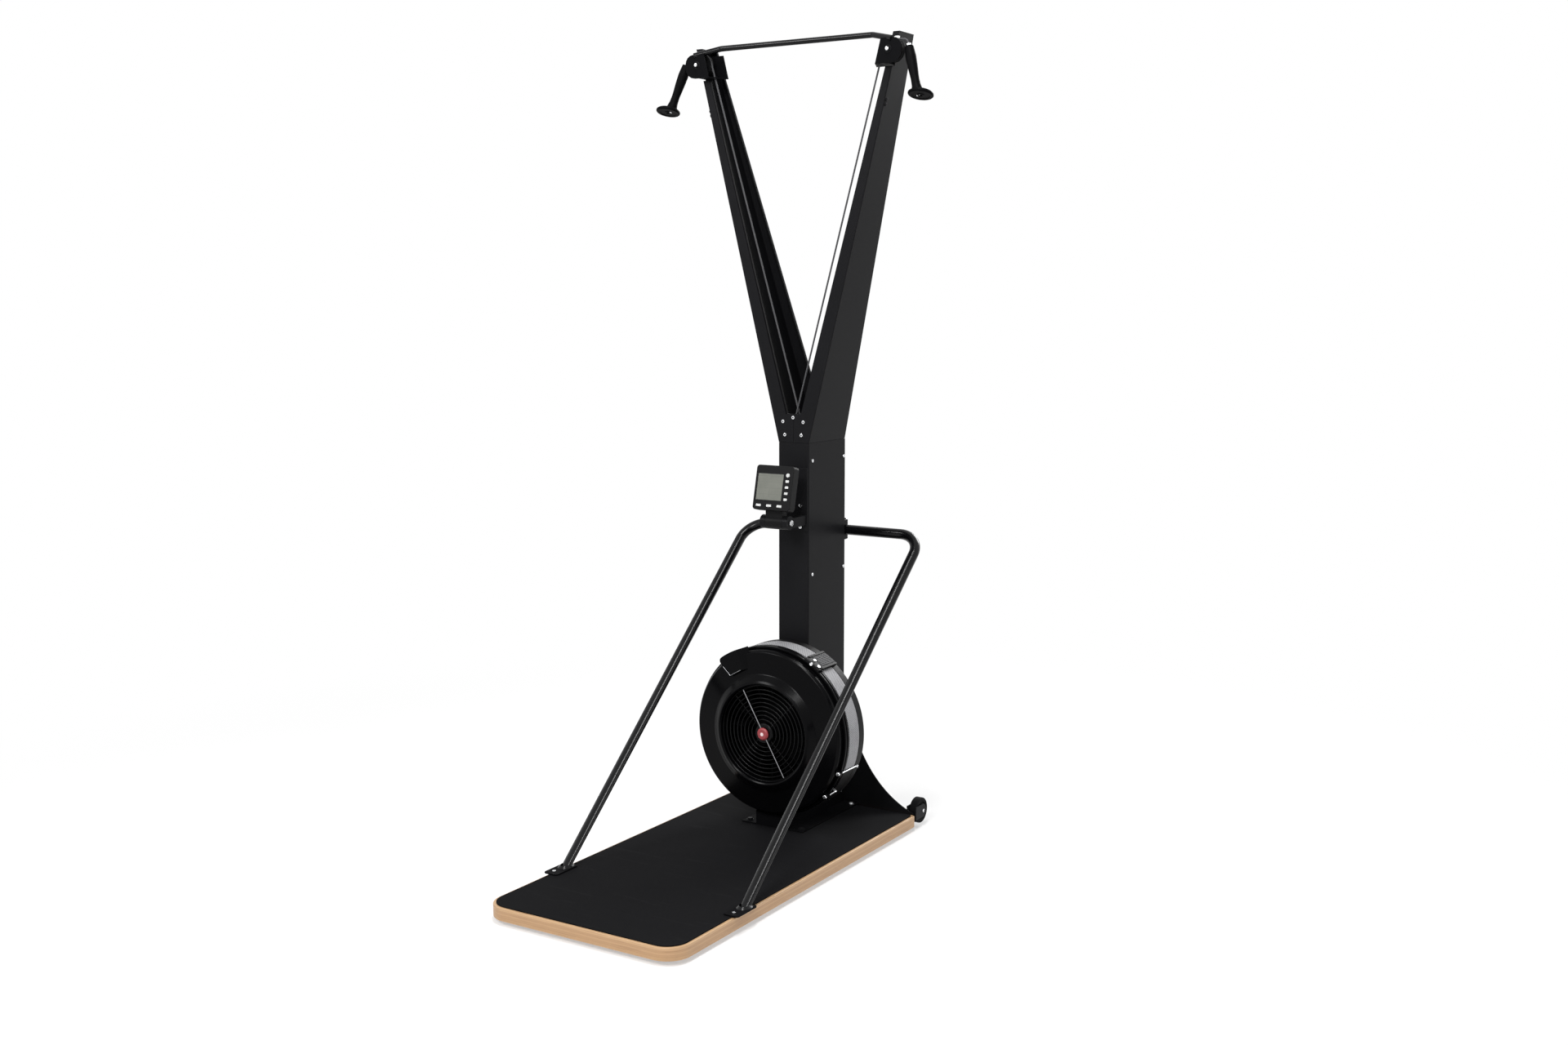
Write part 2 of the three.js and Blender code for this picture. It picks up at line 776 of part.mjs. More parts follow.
/** The right arm: a tapering channel, open towards the middle, whose foot makes half of the V joint. */
function armSolid() {
  const topX = armOuter(armTop);
  const middle = gap;
  const outline = [
    [middle, armBottom],
    [columnHalf, armBottom],
    [topX, armTop],
    [topX - armTopWidth, armTop],
    [notchHalfWidth, notchHeight],
    [middle, notchHeight],
  ];
  const wall = columnWall;
  const slant = wall * Math.hypot(1, splayShare);
  const hollow = [
    [-overrun, armBottom - overrun],
    [armOuter(armBottom - overrun) - slant, armBottom - overrun],
    [armOuter(armTop - wall) - slant, armTop - wall],
    [topX - armTopWidth - overrun, armTop - wall],
    [notchHalfWidth - overrun - (armTopWidth + overrun), notchHeight],
    [-overrun, notchHeight],
  ];
  const rearTop = columnFront + armFrontDrift + armTopDepth;
  const side = (inset) => [
    [columnFront + inset, armBottom - 2 * overrun],
    [columnFront + inset, armBottom],
    [columnFront + armFrontDrift + inset, armTop + overrun],
    [rearTop - inset, armTop + overrun],
    [rearTop - inset, armTop],
    [columnRear - inset, armBottom],
    [columnRear - inset, armBottom - 2 * overrun],
  ];
  const outer = plateXZ(outline, columnFront - overrun, columnRear + overrun)
    .intersect(plateYZ(side(0), -overrun, topX + overrun));
  const throat = plateXZ(hollow, columnFront - overrun, columnRear + overrun)
    .intersect(plateYZ(side(wall + armLip), -3 * overrun, topX + overrun));
  const lipped = [
    [middle - overrun, armBottom - overrun],
    [armOuter(armBottom - overrun) - slant, armBottom - overrun],
    [armOuter(armTop - wall) - slant, armTop - wall],
    [topX - armTopWidth + wall, armTop - wall],
    [notchHalfWidth + wall, notchHeight - wall],
    [middle - overrun, notchHeight - wall],
  ];
  const chamber = plateXZ(lipped, columnFront - overrun, columnRear + overrun)
    .intersect(plateYZ(side(wall), -3 * overrun, topX + overrun));
  const window = block(0, topX + overrun, columnFront - overrun, pulleyY + armWindowDepth - pulleyWidth / 2,
    armWindowBottom, armWindowTop);
  return cut(outer, throat, chamber, window, jointHoles());
}

/** Both arms, the plate inside their joint and its bolts. */
function buildArms() {
  const arm = armSolid();
  place("right_arm", "coat", arm);
  place("left_arm", "coat", mirrored(arm));
  const face = columnFront + columnWall + 2 * gap;
  const plate = block(-jointPlateHalfWidth, jointPlateHalfWidth, face, face + columnWall,
    jointPlateBottom, jointPlateTop);
  const bolts = jointBolts.map(([x, z]) => bolt("y", 1, columnFront - gap, x, z, false));
  const studs = [[1, guideFrontY], [-1, guideRearY]].flatMap(([side, y]) => {
    const near = y - guideWidth / 2 - gap;
    const far = y + guideWidth / 2 + gap;
    const stud = (radius, from, to) => rod("y", radius, from, to, side * guideX, guideZ, smallSides);
    return [stud(guideAxleRadius, face, far + guideAxleHead), stud(2 * guideAxleRadius,
      near - guideCollar, near),
      stud(2 * guideAxleRadius, far, far + guideAxleHead)];
  });
  place("arm_joint_plate", "steel", join(plate, bolts, studs));
}

/** The stay: one tube from foot to foot, passing behind the column. */
function buildStay() {
  const lean = new THREE.Vector3(stayHalfWidth - stayFootX, stayRunY - stayFootY,
    stayHeight - deckTop).normalize();
  const foot = new THREE.Vector3(stayFootX, stayFootY, deckTop).addScaledVector(lean, -2 * stayRadius);
  const corner = new THREE.Vector3(stayHalfWidth, stayRunY, stayHeight);
  const flip = (p) => new THREE.Vector3(-p.x, p.y, p.z);
  const route = filleted([foot, corner, flip(corner), flip(foot)], stayBend, bendSteps);
  const floorCut = block(-deckWidth, deckWidth, 0, deckLength, -deckTop, deckTop + stayPlateThickness / 2);
  const plates = [-stayFootX, stayFootX].map((x) => plateXY(
    roundedRectangle(x - stayPlateWidth / 2, x + stayPlateWidth / 2, stayPlateFront, stayPlateRear,
      stayPlateCorner, stayPlateCorner, cornerSteps),
    deckTop, deckTop + stayPlateThickness));
  const bolts = stayBolts.map(([x, y]) => bolt("z", -1, stayBoltSurface, x, y, true));
  place("stay_frame", "coat", join(cut(tubeAlong(route, stayRadius, smallSides), floorCut), plates, bolts));
  const half = clampX + clampWidth / 2;
  const clamp = cut(
    block(-half, half, columnRear + gap, clampFace, stayHeight - clampReach, stayHeight + clampReach),
    rod("x", stayRadius + gap, -2 * half, 2 * half, stayRunY, stayHeight, 2 * screwSides),
  );
  const clampBolt = (x, z) => join(
    rod("y", screwHeadRadius, clampFace - gap, clampFace + screwHeadHeight, x, z, hexSides),
    rod("y", screwShankRadius, columnRear - screwShankLength, clampFace, x, z, screwSides));
  place("stay_clamp", "coat", join(clamp, clampBolts.map(([x, z]) => clampBolt(x, z))));
}

/** A curved flank of the gusset, from the column down to the deck's corner. */
function gussetFlank(side) {
  const curve = new THREE.QuadraticBezierCurve(
    new THREE.Vector2(side * columnHalf, gussetTop),
    new THREE.Vector2(side * gussetPullX, gussetPullZ),
    new THREE.Vector2(side * gussetHalfWidth, deckTop),
  );
  return curve.getPoints(gussetSteps).map((p) => [p.x, p.y]);
}

/** The flared plate behind the column, and the bracket that carries the column and the flywheel housing. */
function buildBase() {
  const outline = [...gussetFlank(1), [gussetHalfWidth, footHeight], [-gussetHalfWidth, footHeight],
    ...gussetFlank(-1).reverse()];
  const bolts = gussetBolts.map(([x, z]) => bolt("y", -1, columnRear + gussetThickness, x, z, false));
  place("rear_gusset", "coat", join(plateXZ(outline, columnRear, columnRear + gussetThickness), bolts,
    wheelForks()));
  const flat = block(-baseHalfWidth, baseHalfWidth, baseFront, columnRear - gap, deckTop, baseTop);
  const cheeks = [-1, 1].map((side) => {
    const faces = [side * (columnHalf + gap), side * cheekFace].sort((a, b) => a - b);
    const profile = [
      [baseFront, baseTop - baseThickness / 2],
      [baseFront, baseTop + cheekHeight / 3],
      [baseFront + cheekHeight / 3, baseTop + cheekHeight],
      [columnFront + columnDepth / 2, baseTop + cheekHeight],
      [columnRear - gap, baseTop + cheekHeight / 3],
      [columnRear - gap, baseTop - baseThickness / 2],
    ];
    return plateYZ(profile, faces[0], faces[1]);
  });
  const front = block(-columnHalf - gap, columnHalf + gap, baseFront, baseFront + baseThickness,
    baseTop - baseThickness / 2, baseTop + cheekHeight / 3);
  const room = rod("y", screenRadius + 2 * gap, baseFront - overrun, columnFront - gap, 0, hubZ,
    2 * largeSides);
  const baseBoltSolids = baseBolts.map(([x, y]) => bolt("z", -1, baseTop, x, y, true));
  const cheekBolts = [-1, 1].flatMap((side) => [cheekBoltY, columnRear - columnScrewFrontInset].map((y) =>
    bolt("x", -side, side * cheekFace, y, cheekBoltZ, false)));
  place("base_bracket", "coat", join(cut(join(flat, cheeks, front), room), baseBoltSolids, cheekBolts));
}

/** The forks that hold the transport wheels behind the deck, with their axle bolts. */
function wheelForks() {
  const forkFace = columnRear + gussetThickness / 2;
  const forkHalf = wheelWidth / 2 + wheelRoom;
  const fork = (side) => {
    const x = side * wheelX;
    const cheek = (x0) => plateYZ([
      [forkFace, wheelZ - wheelForkRadius],
      ...arc(wheelY, wheelZ, wheelForkRadius, -90, 90, cornerSteps),
      [forkFace, wheelZ + wheelForkRadius],
    ], x0, x0 + wheelForkThickness);
    const web = block(x - forkHalf - wheelForkThickness, x + forkHalf + wheelForkThickness,
      forkFace, forkFace + wheelForkWeb, wheelZ - wheelForkRadius, wheelZ + wheelForkRadius);
    const room = rod("x", wheelRadius + wheelRoom, x - forkHalf, x + forkHalf, wheelY, wheelZ, middleSides);
    const axle = rod("x", wheelAxleRadius, x - forkHalf - 2 * wheelForkThickness,
      x + forkHalf + 2 * wheelForkThickness,
      wheelY, wheelZ, smallSides);
    return join(cut(join(cheek(x - forkHalf - wheelForkThickness), cheek(x + forkHalf), web), room), axle);
  };
  return [fork(-1), fork(1)];
}

/** The transport wheels. */
function buildWheels() {
  for (const [name, side] of sides) {
    const x = side * wheelX;
    const half = wheelWidth / 2;
    const tyre = join(
      rod("x", wheelRadius, x - half + tyreRound, x + half - tyreRound, wheelY, wheelZ, wheelSides),
      rod("x", wheelRadius - tyreRound, x - half, x + half, wheelY, wheelZ, wheelSides),
    );
    place(`${name}_wheel`, "rubber", cut(tyre, rod("x", wheelAxleRadius + gap, x - wheelWidth,
      x + wheelWidth, wheelY, wheelZ, smallSides)));
  }
}

/** A grooved pulley about a line along y. */
function pulley(x, y, z, groove, flange, width, axle, segments) {
  const half = width / 2;
  const open = grooveWidth / 2;
  const bore = axle + gap;
  return turned([
    [bore, y - half], [flange, y - half], [flange, y - half + flangeEdge], [groove, y - open / 2],
    [groove, y + open / 2], [flange, y + half - flangeEdge], [flange, y + half], [bore, y + half],
  ], x, z, segments);
}

/** The crossbar's route, from one housing to the other. */
function crossbarRoute() {
  const half = [
    new THREE.Vector3(crossbarEndX, crossbarEndY, crossbarEndZ),
    new THREE.Vector3(crossbarBendX, crossbarBendY, crossbarZ),
  ];
  const other = half.map((p) => new THREE.Vector3(-p.x, p.y, p.z)).reverse();
  return filleted([...half, ...other], crossbarBend, cornerSteps);
}

/** The right pulley housing: a folded plate box round the top pulley. */
function housingSolid() {
  const left = pulleyX - housingHalfWidth;
  const right = pulleyX + housingHalfWidth;
  const lean = (housingTop - housingBottom) * splayShare;
  const face = [
    [left, housingBottom],
    ...arc(pulleyX + housingHalfWidth - housingRoundRadius, housingBottom + housingRoundRadius,
      housingRoundRadius, 270, 360, cornerSteps),
    ...arc(right - housingTopRoundRadius, housingTop - housingTopRoundRadius, housingTopRoundRadius,
      0, 90, cornerSteps),
    [left + lean, housingTop],
  ];
  const wall = armOuter(housingBottom) - columnWall * Math.hypot(1, splayShare) - gap;
  const front = plateXZ(face, housingFront, housingFront + housingWall);
  const floor = plateXY([
    [left, housingFront], [right - housingRoundRadius, housingFront],
    [right - housingRoundRadius, housingFront + housingWall], [wall, housingFront + housingWall],
    [wall, housingRear], [housingInnerRearX, housingRear],
  ], housingBottom, housingBottom + housingWall);
  const rear = plateXZ([
    [housingInnerRearX, housingBottom], [wall, housingBottom], [wall + lean, housingTop],
      [housingInnerRearX + lean, housingTop],
  ], housingRear - housingWall, housingRear);
  const slot = block(left - 2 * cordRadius, left + 4 * cordRadius, pulleyY - 3 * cordRadius,
    pulleyY + 3 * cordRadius,
    housingBottom - overrun, housingBottom + overrun);
  return cut(join(front, floor, rear), slot,
    rod("y", axleRadius + gap, housingFront - overrun, pulleyY, pulleyX, pulleyZ, smallSides),
    rod("y", axleTipRadius + gap, pulleyY, housingRear + overrun, pulleyX, pulleyZ, smallSides),
    tubeAlong(crossbarRoute(), crossbarRadius + gap, smallSides));
}

/** Housings, top pulleys and the crossbar. */
function buildTop() {
  place("top_crossbar", "coat", tubeAlong(crossbarRoute(), crossbarRadius, smallSides));
  const housing = housingSolid();
  const wheel = pulley(pulleyX, pulleyY, pulleyZ, grooveRadius, pulleyFlangeRadius, pulleyWidth,
    axleRadius, middleSides);
  for (const [name, side] of sides) {
    place(`${name}_pulley_housing`, "coat", sided(side, housing));
    place(`${name}_top_pulley`, "plastic", sided(side, wheel));
    const y = side > 0 ? guideFrontY : guideRearY;
    place(`${name}_guide_pulley`, "plastic",
      pulley(side * guideX, y, guideZ, guideGrooveRadius, guideFlangeRadius, guideWidth, guideAxleRadius,
        middleSides));
  }
}

/** The top pulleys' axle bolts, from the front plate to the rear plate of each housing. */
function buildAxles() {
  const nearFace = pulleyY - pulleyWidth / 2 - gap;
  const farFace = pulleyY + pulleyWidth / 2 + gap;
  for (const [name, side] of sides) {
    const part = (radius, from, to, segments = smallSides) => rod("y", radius, from, to, side * pulleyX,
      pulleyZ, segments);
    place(`${name}_pulley_axle`, "zinc", join(
      part(boltHeadRadius, housingFront - boltHeadHeight, housingFront - gap, hexSides),
      part(axleRadius, housingFront - boltHeadHeight, farFace + axleCollar / 2),
      part(2 * axleRadius, housingFront + housingWall + gap, nearFace),
      part(2 * axleRadius, farFace, farFace + axleCollar),
      part(axleSlimRadius, farFace, housingRear - housingWall - gap),
      part(axleTipRadius, farFace, housingRear + boltHeadHeight),
    ));
  }
}

const handleAxis = new THREE.Vector3(
  handleOutLean, -handleFrontLean, -Math.sqrt(1 - handleOutLean ** 2 - handleFrontLean ** 2));
const ferruleTop = new THREE.Vector3(handleTopX, handleTopY, handleTopZ).addScaledVector(handleAxis,
  -ferruleLength);

/** The turn at which a line from an outer point touches the upper side of a circle. */
function tangentTurn(x, z, radius, toX, toZ) {
  return Math.atan2(toZ - z, toX - x) + Math.acos(radius / Math.hypot(toX - x, toZ - z));
}

/** The whole route of a cord that the machine holds, from the top pulley to the drum. */
function cordRoute(side) {
  const guideY = side > 0 ? guideFrontY : guideRearY;
  const drumY = side > 0 ? drumRightY : drumLeftY;
  const deg = THREE.MathUtils.radToDeg;
  const at = (x, z, radius, turn, y) =>
    new THREE.Vector3(side * (x + radius * Math.cos(turn)), y, z + radius * Math.sin(turn));
  const along = (x, z, radius, from, to, y, steps) =>
    arc(x, z, radius, deg(from), deg(to), steps).map(([u, v]) => new THREE.Vector3(side * u, y, v));
  const leave = tangentTurn(pulleyX, pulleyZ, pulleyPitch, ferruleTop.x, ferruleTop.z);
  const down = Math.PI - Math.asin((pulleyX - guideX + guidePitch - pulleyPitch)
    / Math.hypot(pulleyX - guideX, pulleyZ - guideZ));
  const top = along(pulleyX, pulleyZ, pulleyPitch, leave, down, pulleyY, 2 * bendSteps);
  const lineX = side * (guideX - guidePitch);
  const drop = Math.atan2(drumPitch - lineX, guideZ - hubZ);
  const guide = along(guideX, guideZ, guidePitch, down, Math.PI + side * drop, guideY, cornerSteps);
  const drum = arc(0, hubZ, drumPitch, deg(drop), deg(drop) - drumWrapTurn, 2 * bendSteps).map(([u, v]) =>
    new THREE.Vector3(u, drumY, v));
  return [...top, ...guide, ...drum];
}

/** The stretch of cord between the top pulley and the handle, with the handle at rest. */
function leadRoute(side) {
  const leave = tangentTurn(pulleyX, pulleyZ, pulleyPitch, ferruleTop.x, ferruleTop.z);
  const start = new THREE.Vector3(pulleyX + pulleyPitch * Math.cos(leave), pulleyY,
    pulleyZ + pulleyPitch * Math.sin(leave));
  const way = ferruleTop.clone().sub(start).normalize();
  const end = ferruleTop.clone().addScaledVector(way, -leadGap);
  start.addScaledVector(way, leadGap / 3);
  return [start, end].map((p) => new THREE.Vector3(side * p.x, p.y, p.z));
}

/** Cords, and the handles on their ends. */
function buildCordsAndHandles() {
  const turn = new THREE.Quaternion().setFromUnitVectors(new THREE.Vector3(0, 1, 0), handleAxis);
  const pose = new THREE.Matrix4().compose(
    new THREE.Vector3(handleTopX, handleTopY, handleTopZ), turn, new THREE.Vector3(1, 1, 1));
  const base = handleLength - handleBaseThickness;
  const foot = base + handleBaseThickness / 2;
  const baseAxis = new THREE.Vector3(0, -handleBaseLean, -1).normalize();
  const baseTop = new THREE.Vector3(handleTopX, handleTopY, handleTopZ).addScaledVector(handleAxis, foot)
    .addScaledVector(baseAxis, -handleBaseThickness / 2).add(new THREE.Vector3(handleBaseShift, 0, 0));
  const basePose = new THREE.Matrix4().compose(baseTop,
    new THREE.Quaternion().setFromUnitVectors(new THREE.Vector3(0, 1, 0), baseAxis),
    new THREE.Vector3(1, 1, 1));
  const socket = ferruleRadius + gap;
  const bore = coreRadius + gap;
  const sink = handleLength - 2 * endScrewHeight;
  const profile = [
    [socket, 0], [handleShoulder - handleRound, 0], [handleShoulder, 2 * handleRound],
    [handleShoulder, 2 * ferruleLength], [handleThroat + handleRound / 2, handleLength * waistStartShare],
    [handleThroat, handleLength * waistEndShare], [handleThroat + handleRound / 2, base - 3 * handleRound],
    [handleShoulder + handleRound, base], [handleShoulder + handleRound, foot],
    [bore, foot], [bore, ferruleLength * 2], [socket, ferruleLength * 2],
  ];
  const baseProfile = [
    [0, 0], [handleBaseRadius - 2 * handleRound, 0], [handleBaseRadius, 2 * handleRound],
    [handleBaseRadius, handleBaseThickness - handleRound],
    [handleBaseRadius - handleRound, handleBaseThickness], [0, handleBaseThickness],
  ];
  const coreRoom = moved(join(
    rod("y", bore, ferruleLength * 2, handleLength + overrun, 0, 0, smallSides),
    rod("y", endScrewRadius + gap, sink, handleLength + overrun, 0, 0, smallSides),
  ), pose);
  const grip = cut(join(moved(turned(profile, 0, 0, middleSides), pose),
    moved(turned(baseProfile, 0, 0, middleSides), basePose)), coreRoom);
  const core = moved(join(
    rod("y", ferruleRadius, -ferruleLength, ferruleLength * 2 - gap, 0, 0, smallSides),
    rod("y", coreRadius, 0, sink + endScrewHeight, 0, 0, smallSides),
    rod("y", endScrewRadius, sink + gap, sink + endScrewHeight, 0, 0, smallSides),
  ), pose);
  for (const [name, side] of sides) {
    place(`${name}_handle`, "plastic", sided(side, grip));
    place(`${name}_handle_core`, "zinc", sided(side, core));
    place(`${name}_cord_lead`, "cord", tubeAlong(leadRoute(side), cordRadius, cordSides));
    place(`${name}_pull_cord`, "cord", tubeAlong(cordRoute(side), cordRadius, cordSides));
  }
}

/** A spool with a pocket for its recoil spring, which opens towards the spring plate. */
function drumSolid(middle, sense) {
  const near = middle - (sense * drumWidth) / 2;
  const far = middle + (sense * drumWidth) / 2;
  const bore = shaftRadius + gap;
  return turned([
    [bore, near], [drumFlangeRadius, near], [drumFlangeRadius, near + sense * drumFlange],
    [drumCoreRadius, near + sense * drumFlange], [drumCoreRadius, far - sense * drumFlange],
    [drumFlangeRadius, far - sense * drumFlange], [drumFlangeRadius, far], [springPocketRadius, far],
    [springPocketRadius, far - sense * springPocketDepth], [bore, far - sense * springPocketDepth],
  ], 0, hubZ, middleSides);
}

/** A flat spiral spring: one strip wound outwards. */
function springSolid(y0, y1) {
  const steps = springTurns * smallSides;
  const edge = (offset) => Array.from({ length: steps + 1 }, (_, i) => {
    const turn = (2 * Math.PI * springTurns * i) / steps;
    const radius = springInner + ((springOuter - springInner) * i) / steps + offset;
    return [radius * Math.cos(turn), hubZ + radius * Math.sin(turn)];
  });
  return plateXZ([...edge(springStrip / 2), ...edge(-springStrip / 2).reverse()], y0, y1);
}

/** Shaft, drums, springs and bearings inside the column. */
function buildDrive() {
  place("right_drum", "steel", drumSolid(drumRightY, 1));
  place("left_drum", "steel", drumSolid(drumLeftY, -1));
  const frontEnd = drumRightY + drumWidth / 2;
  const rearEnd = drumLeftY - drumWidth / 2;
  const springs = [
    springSolid(frontEnd - springPocketDepth + springRoom,
      frontEnd - springPocketDepth + springRoom + springWidth),
    springSolid(rearEnd + springPocketDepth - springRoom - springWidth,
      rearEnd + springPocketDepth - springRoom),
  ];
  place("right_recoil_spring", "steel", springs[0]);
  place("left_recoil_spring", "steel", springs[1]);
  const shaft = join(
    rod("y", shaftRadius, shaftFront, shaftRear, 0, hubZ, middleSides),
    rod("y", shaftRadius + collarStep, fanHubRear + gap, rearCoverFront - springRoom, 0, hubZ, middleSides),
  );
  place("drive_shaft", "steel", shaft);
  const wide = columnHalf - columnWall - gap;
  const plateAt = (y0, y1, bore) => cut(
    block(-wide, wide, y0, y1, hubZ - bearingHeight / 2, hubZ + bearingHeight / 2),
    rod("y", bore, y0 - overrun, y1 + overrun, 0, hubZ, middleSides));
  const front = plateAt(bearingFrontStart, bearingFrontStart + bearingThickness, shaftRadius + gap);
  const rear = plateAt(bearingRearStart, bearingRearStart + bearingThickness, shaftRadius + gap);
  const middle = plateAt(
    springPlateY - springPlateThickness / 2, springPlateY + springPlateThickness / 2, shaftRadius + gap);
  const sleeve = ring(shaftRadius + gap, springInner - 2 * springRoom,
    springPlateY - springWidth, springPlateY + springWidth, 0, hubZ, middleSides);
  const rails = [-1, 1].map((side) => {
    const faces = [side * wide, side * (wide - railThickness)].sort((a, b) => a - b);
    return block(faces[0], faces[1], bearingFrontStart, bearingRearStart + bearingThickness,
      hubZ - bearingHeight / 2, hubZ - bearingHeight / 4);
  });
  place("bearing_frame", "coat", join(front, rear, middle, sleeve, rails));
}

/** The fan: a hub, a back disc, radial blades and a front band. */
function buildFan() {
  const back = fanHubRear - fanDiscThickness;
  const blades = Array.from({ length: bladeCount }, (_, i) => {
    const blade = block(bladeInner, fanRadius - fanDiscThickness / 2, bladeFront,
      back + fanDiscThickness / 2,
      -bladeThickness / 2, bladeThickness / 2);
    return aboutHub(blade, (360 * i) / bladeCount);
  });
  const fan = join(
    ring(shaftRadius + gap, fanHubRadius, fanHubFront, fanHubRear, 0, hubZ, middleSides),
    ring(fanHubRadius - fanDiscThickness, fanRadius, back, fanHubRear, 0, hubZ, largeSides),
    ring(fanRadius - fanBand, fanRadius, bladeFront - fanDiscThickness, bladeFront + fanDiscThickness / 2,
      0, hubZ, largeSides),
    blades,
  );
  place("flywheel_fan", "steel", fan);
}

/** The ring grille in the front cover's recess. */
function buildGrille() {
  const outer = recessRadius - gap;
  const back = grilleFront + grilleDepth;
  const step = (outer - grilleInner) / grilleRings;
  const rings = Array.from({ length: grilleRings }, (_, i) => {
    const edge = outer - i * step;
    return ring(edge - grilleBar, edge, grilleFront, back, 0, hubZ, middleSides);
  });
  const disc = ring(shaftRadius / 2, grilleInner, grilleFront - grilleWire / 2, back, 0, hubZ, middleSides);
  const spokes = Array.from({ length: grilleSpokes }, (_, i) =>
    aboutHub(block(grilleInner - grilleBar, outer - grilleBar / 2, back - grilleBar / 2, back + grilleBar,
      -grilleBar / 2, grilleBar / 2), (360 * (i + 0.5)) / grilleSpokes));
  const wire = aboutHub(
    block(-outer + grilleBar, outer - grilleBar, grilleFront - grilleWire - gap, grilleFront - gap,
      -grilleWire / 2, grilleWire / 2),
    grilleWireTurn);
  place("intake_grille", "plastic", join(rings, disc, spokes, wire));
  const cap = turned([
    [0, hubCapFront], [hubCapRadius - hubCapRound, hubCapFront], [hubCapRadius, hubCapFront + hubCapRound],
    [hubCapRadius, grilleFront - grilleWire - 2 * gap], [0, grilleFront - grilleWire - 2 * gap],
  ], 0, hubZ, middleSides);
  place("hub_cap", "cap", cap);
}

/** Covers, screen band and screws of the flywheel housing. */
function buildHousing() {
  const t = coverShell;
  const lipFront = grilleFront + grilleDepth + grilleBar + gap;
  const front = turned([
    [coverSkirtRadius, coverSkirtRear], [coverSkirtRadius, coverEdgeFront + coverEdgeRound],
    [coverEdgeRadius, coverEdgeFront], [bevelOuter, bevelOuterFront],
    [bevelInner + coverEdgeRound, bevelInnerFront + t], [bevelInner, bevelInnerFront],
    [recessRadius, bevelInnerFront + t], [recessRadius, lipFront], [recessRadius - recessLip, lipFront],
    [recessRadius - recessLip, lipFront + t], [recessRadius + t, lipFront + t],
    [recessRadius + t, bevelInnerFront + 2 * t], [bevelOuter - t, bevelOuterFront + t],
    [coverEdgeRadius - t, coverEdgeFront + t], [coverSkirtRadius - t, coverEdgeFront + coverEdgeRound + t],
    [coverSkirtRadius - t, coverSkirtRear],
  ], 0, hubZ, largeSides);
  place("housing_front_cover", "gloss", front);
  const postInner = coverSkirtRadius - coverShell;
  const postOuter = rearRimRadius - rimLap;
  const span = 180 - 2 * screenEndTurn;
  const posts = Array.from({ length: cagePosts }, (_, i) => {
    const turn = screenEndTurn + (span * (i + 0.5)) / cagePosts;
    return sector(postInner, postOuter, coverSkirtRear + gap, rearCoverFront + rimLap,
      turn - cagePostTurn, turn + cagePostTurn, 1);
  });
  const skirt = sector(postInner, screenRadius, coverSkirtRear + gap, rearCoverFront + rimLap,
    180 - screenEndTurn, 360 + screenEndTurn, 2 * bendSteps);
  const rear = join(
    ring(rearCoverBore, rearRimRadius, rearCoverFront, rearCoverRear, 0, hubZ, largeSides),
    ring(postInner, rearRimRadius, screenRear, rearCoverRear, 0, hubZ, largeSides),
    ring(bossRadius - bossWall, bossRadius, rearCoverRear - rimLap, columnFront - gap, 0, hubZ,
      middleSides),
    posts, skirt,
  );
  place("housing_rear_cover", "plastic", rear);
  const inner = screenRadius - screenThickness;
  const band = sector(inner, screenRadius, screenFront, screenRear, screenEndTurn + screenTurnRoom,
    180 - screenEndTurn - screenTurnRoom, largeSides);
  place("housing_screen", "screen", band);
}

/** The damper ring with its pointer tab, and the ribbed grip that bridges the screen. */
function buildDamper() {
  const inner = coverSkirtRadius + damperRoom;
  const band = ring(inner, damperOuter, damperFront, coverSkirtRear, 0, hubZ, largeSides);
  const tab = plateXZ([
    ...arc(0, hubZ, tabOuter, tabStartTurn, tabEndTurn, cornerSteps),
    arc(0, hubZ, tabShoulder, tabEndTurn, tabEndTurn, 1)[0],
    arc(0, hubZ, tabInner, tabPointTurn, tabPointTurn, 1)[0],
    arc(0, hubZ, tabInner, tabStartTurn, tabStartTurn, 1)[0],
  ], tabFront, tabFront + tabThickness);
  const web = sector(damperOuter - 2 * tabThickness, tabOuter, tabFront + tabThickness / 2, coverSkirtRear,
    tabStartTurn, tabEndTurn, cornerSteps);
  place("damper_ring", "gloss", join(band, tab, web));
  const seat = damperOuter + gap;
  const ribs = Array.from({ length: gripRibs }, (_, i) => {
    const pitch = (gripEndTurn - gripStartTurn) / (gripRibs + 1);
    const turn = gripStartTurn + pitch * (i + 3 / 4);
    return sector(gripOuter - gripRibHeight, gripOuter + gripRibHeight, coverSkirtRear + gripEdge,
      gripRear - gripEdge,
      turn, turn + pitch / 2, 1);
  });
  const body = sector(seat, gripOuter, damperFront - gripEdge, gripRear, gripStartTurn, gripEndTurn,
    cornerSteps);
  place("damper_grip", "plastic", join(body, ribs));
}

const casePose = new THREE.Matrix4().makeRotationX(-THREE.MathUtils.degToRad(caseTilt))
  .premultiply(new THREE.Matrix4().makeTranslation(0, caseFrontY, caseMiddleZ));

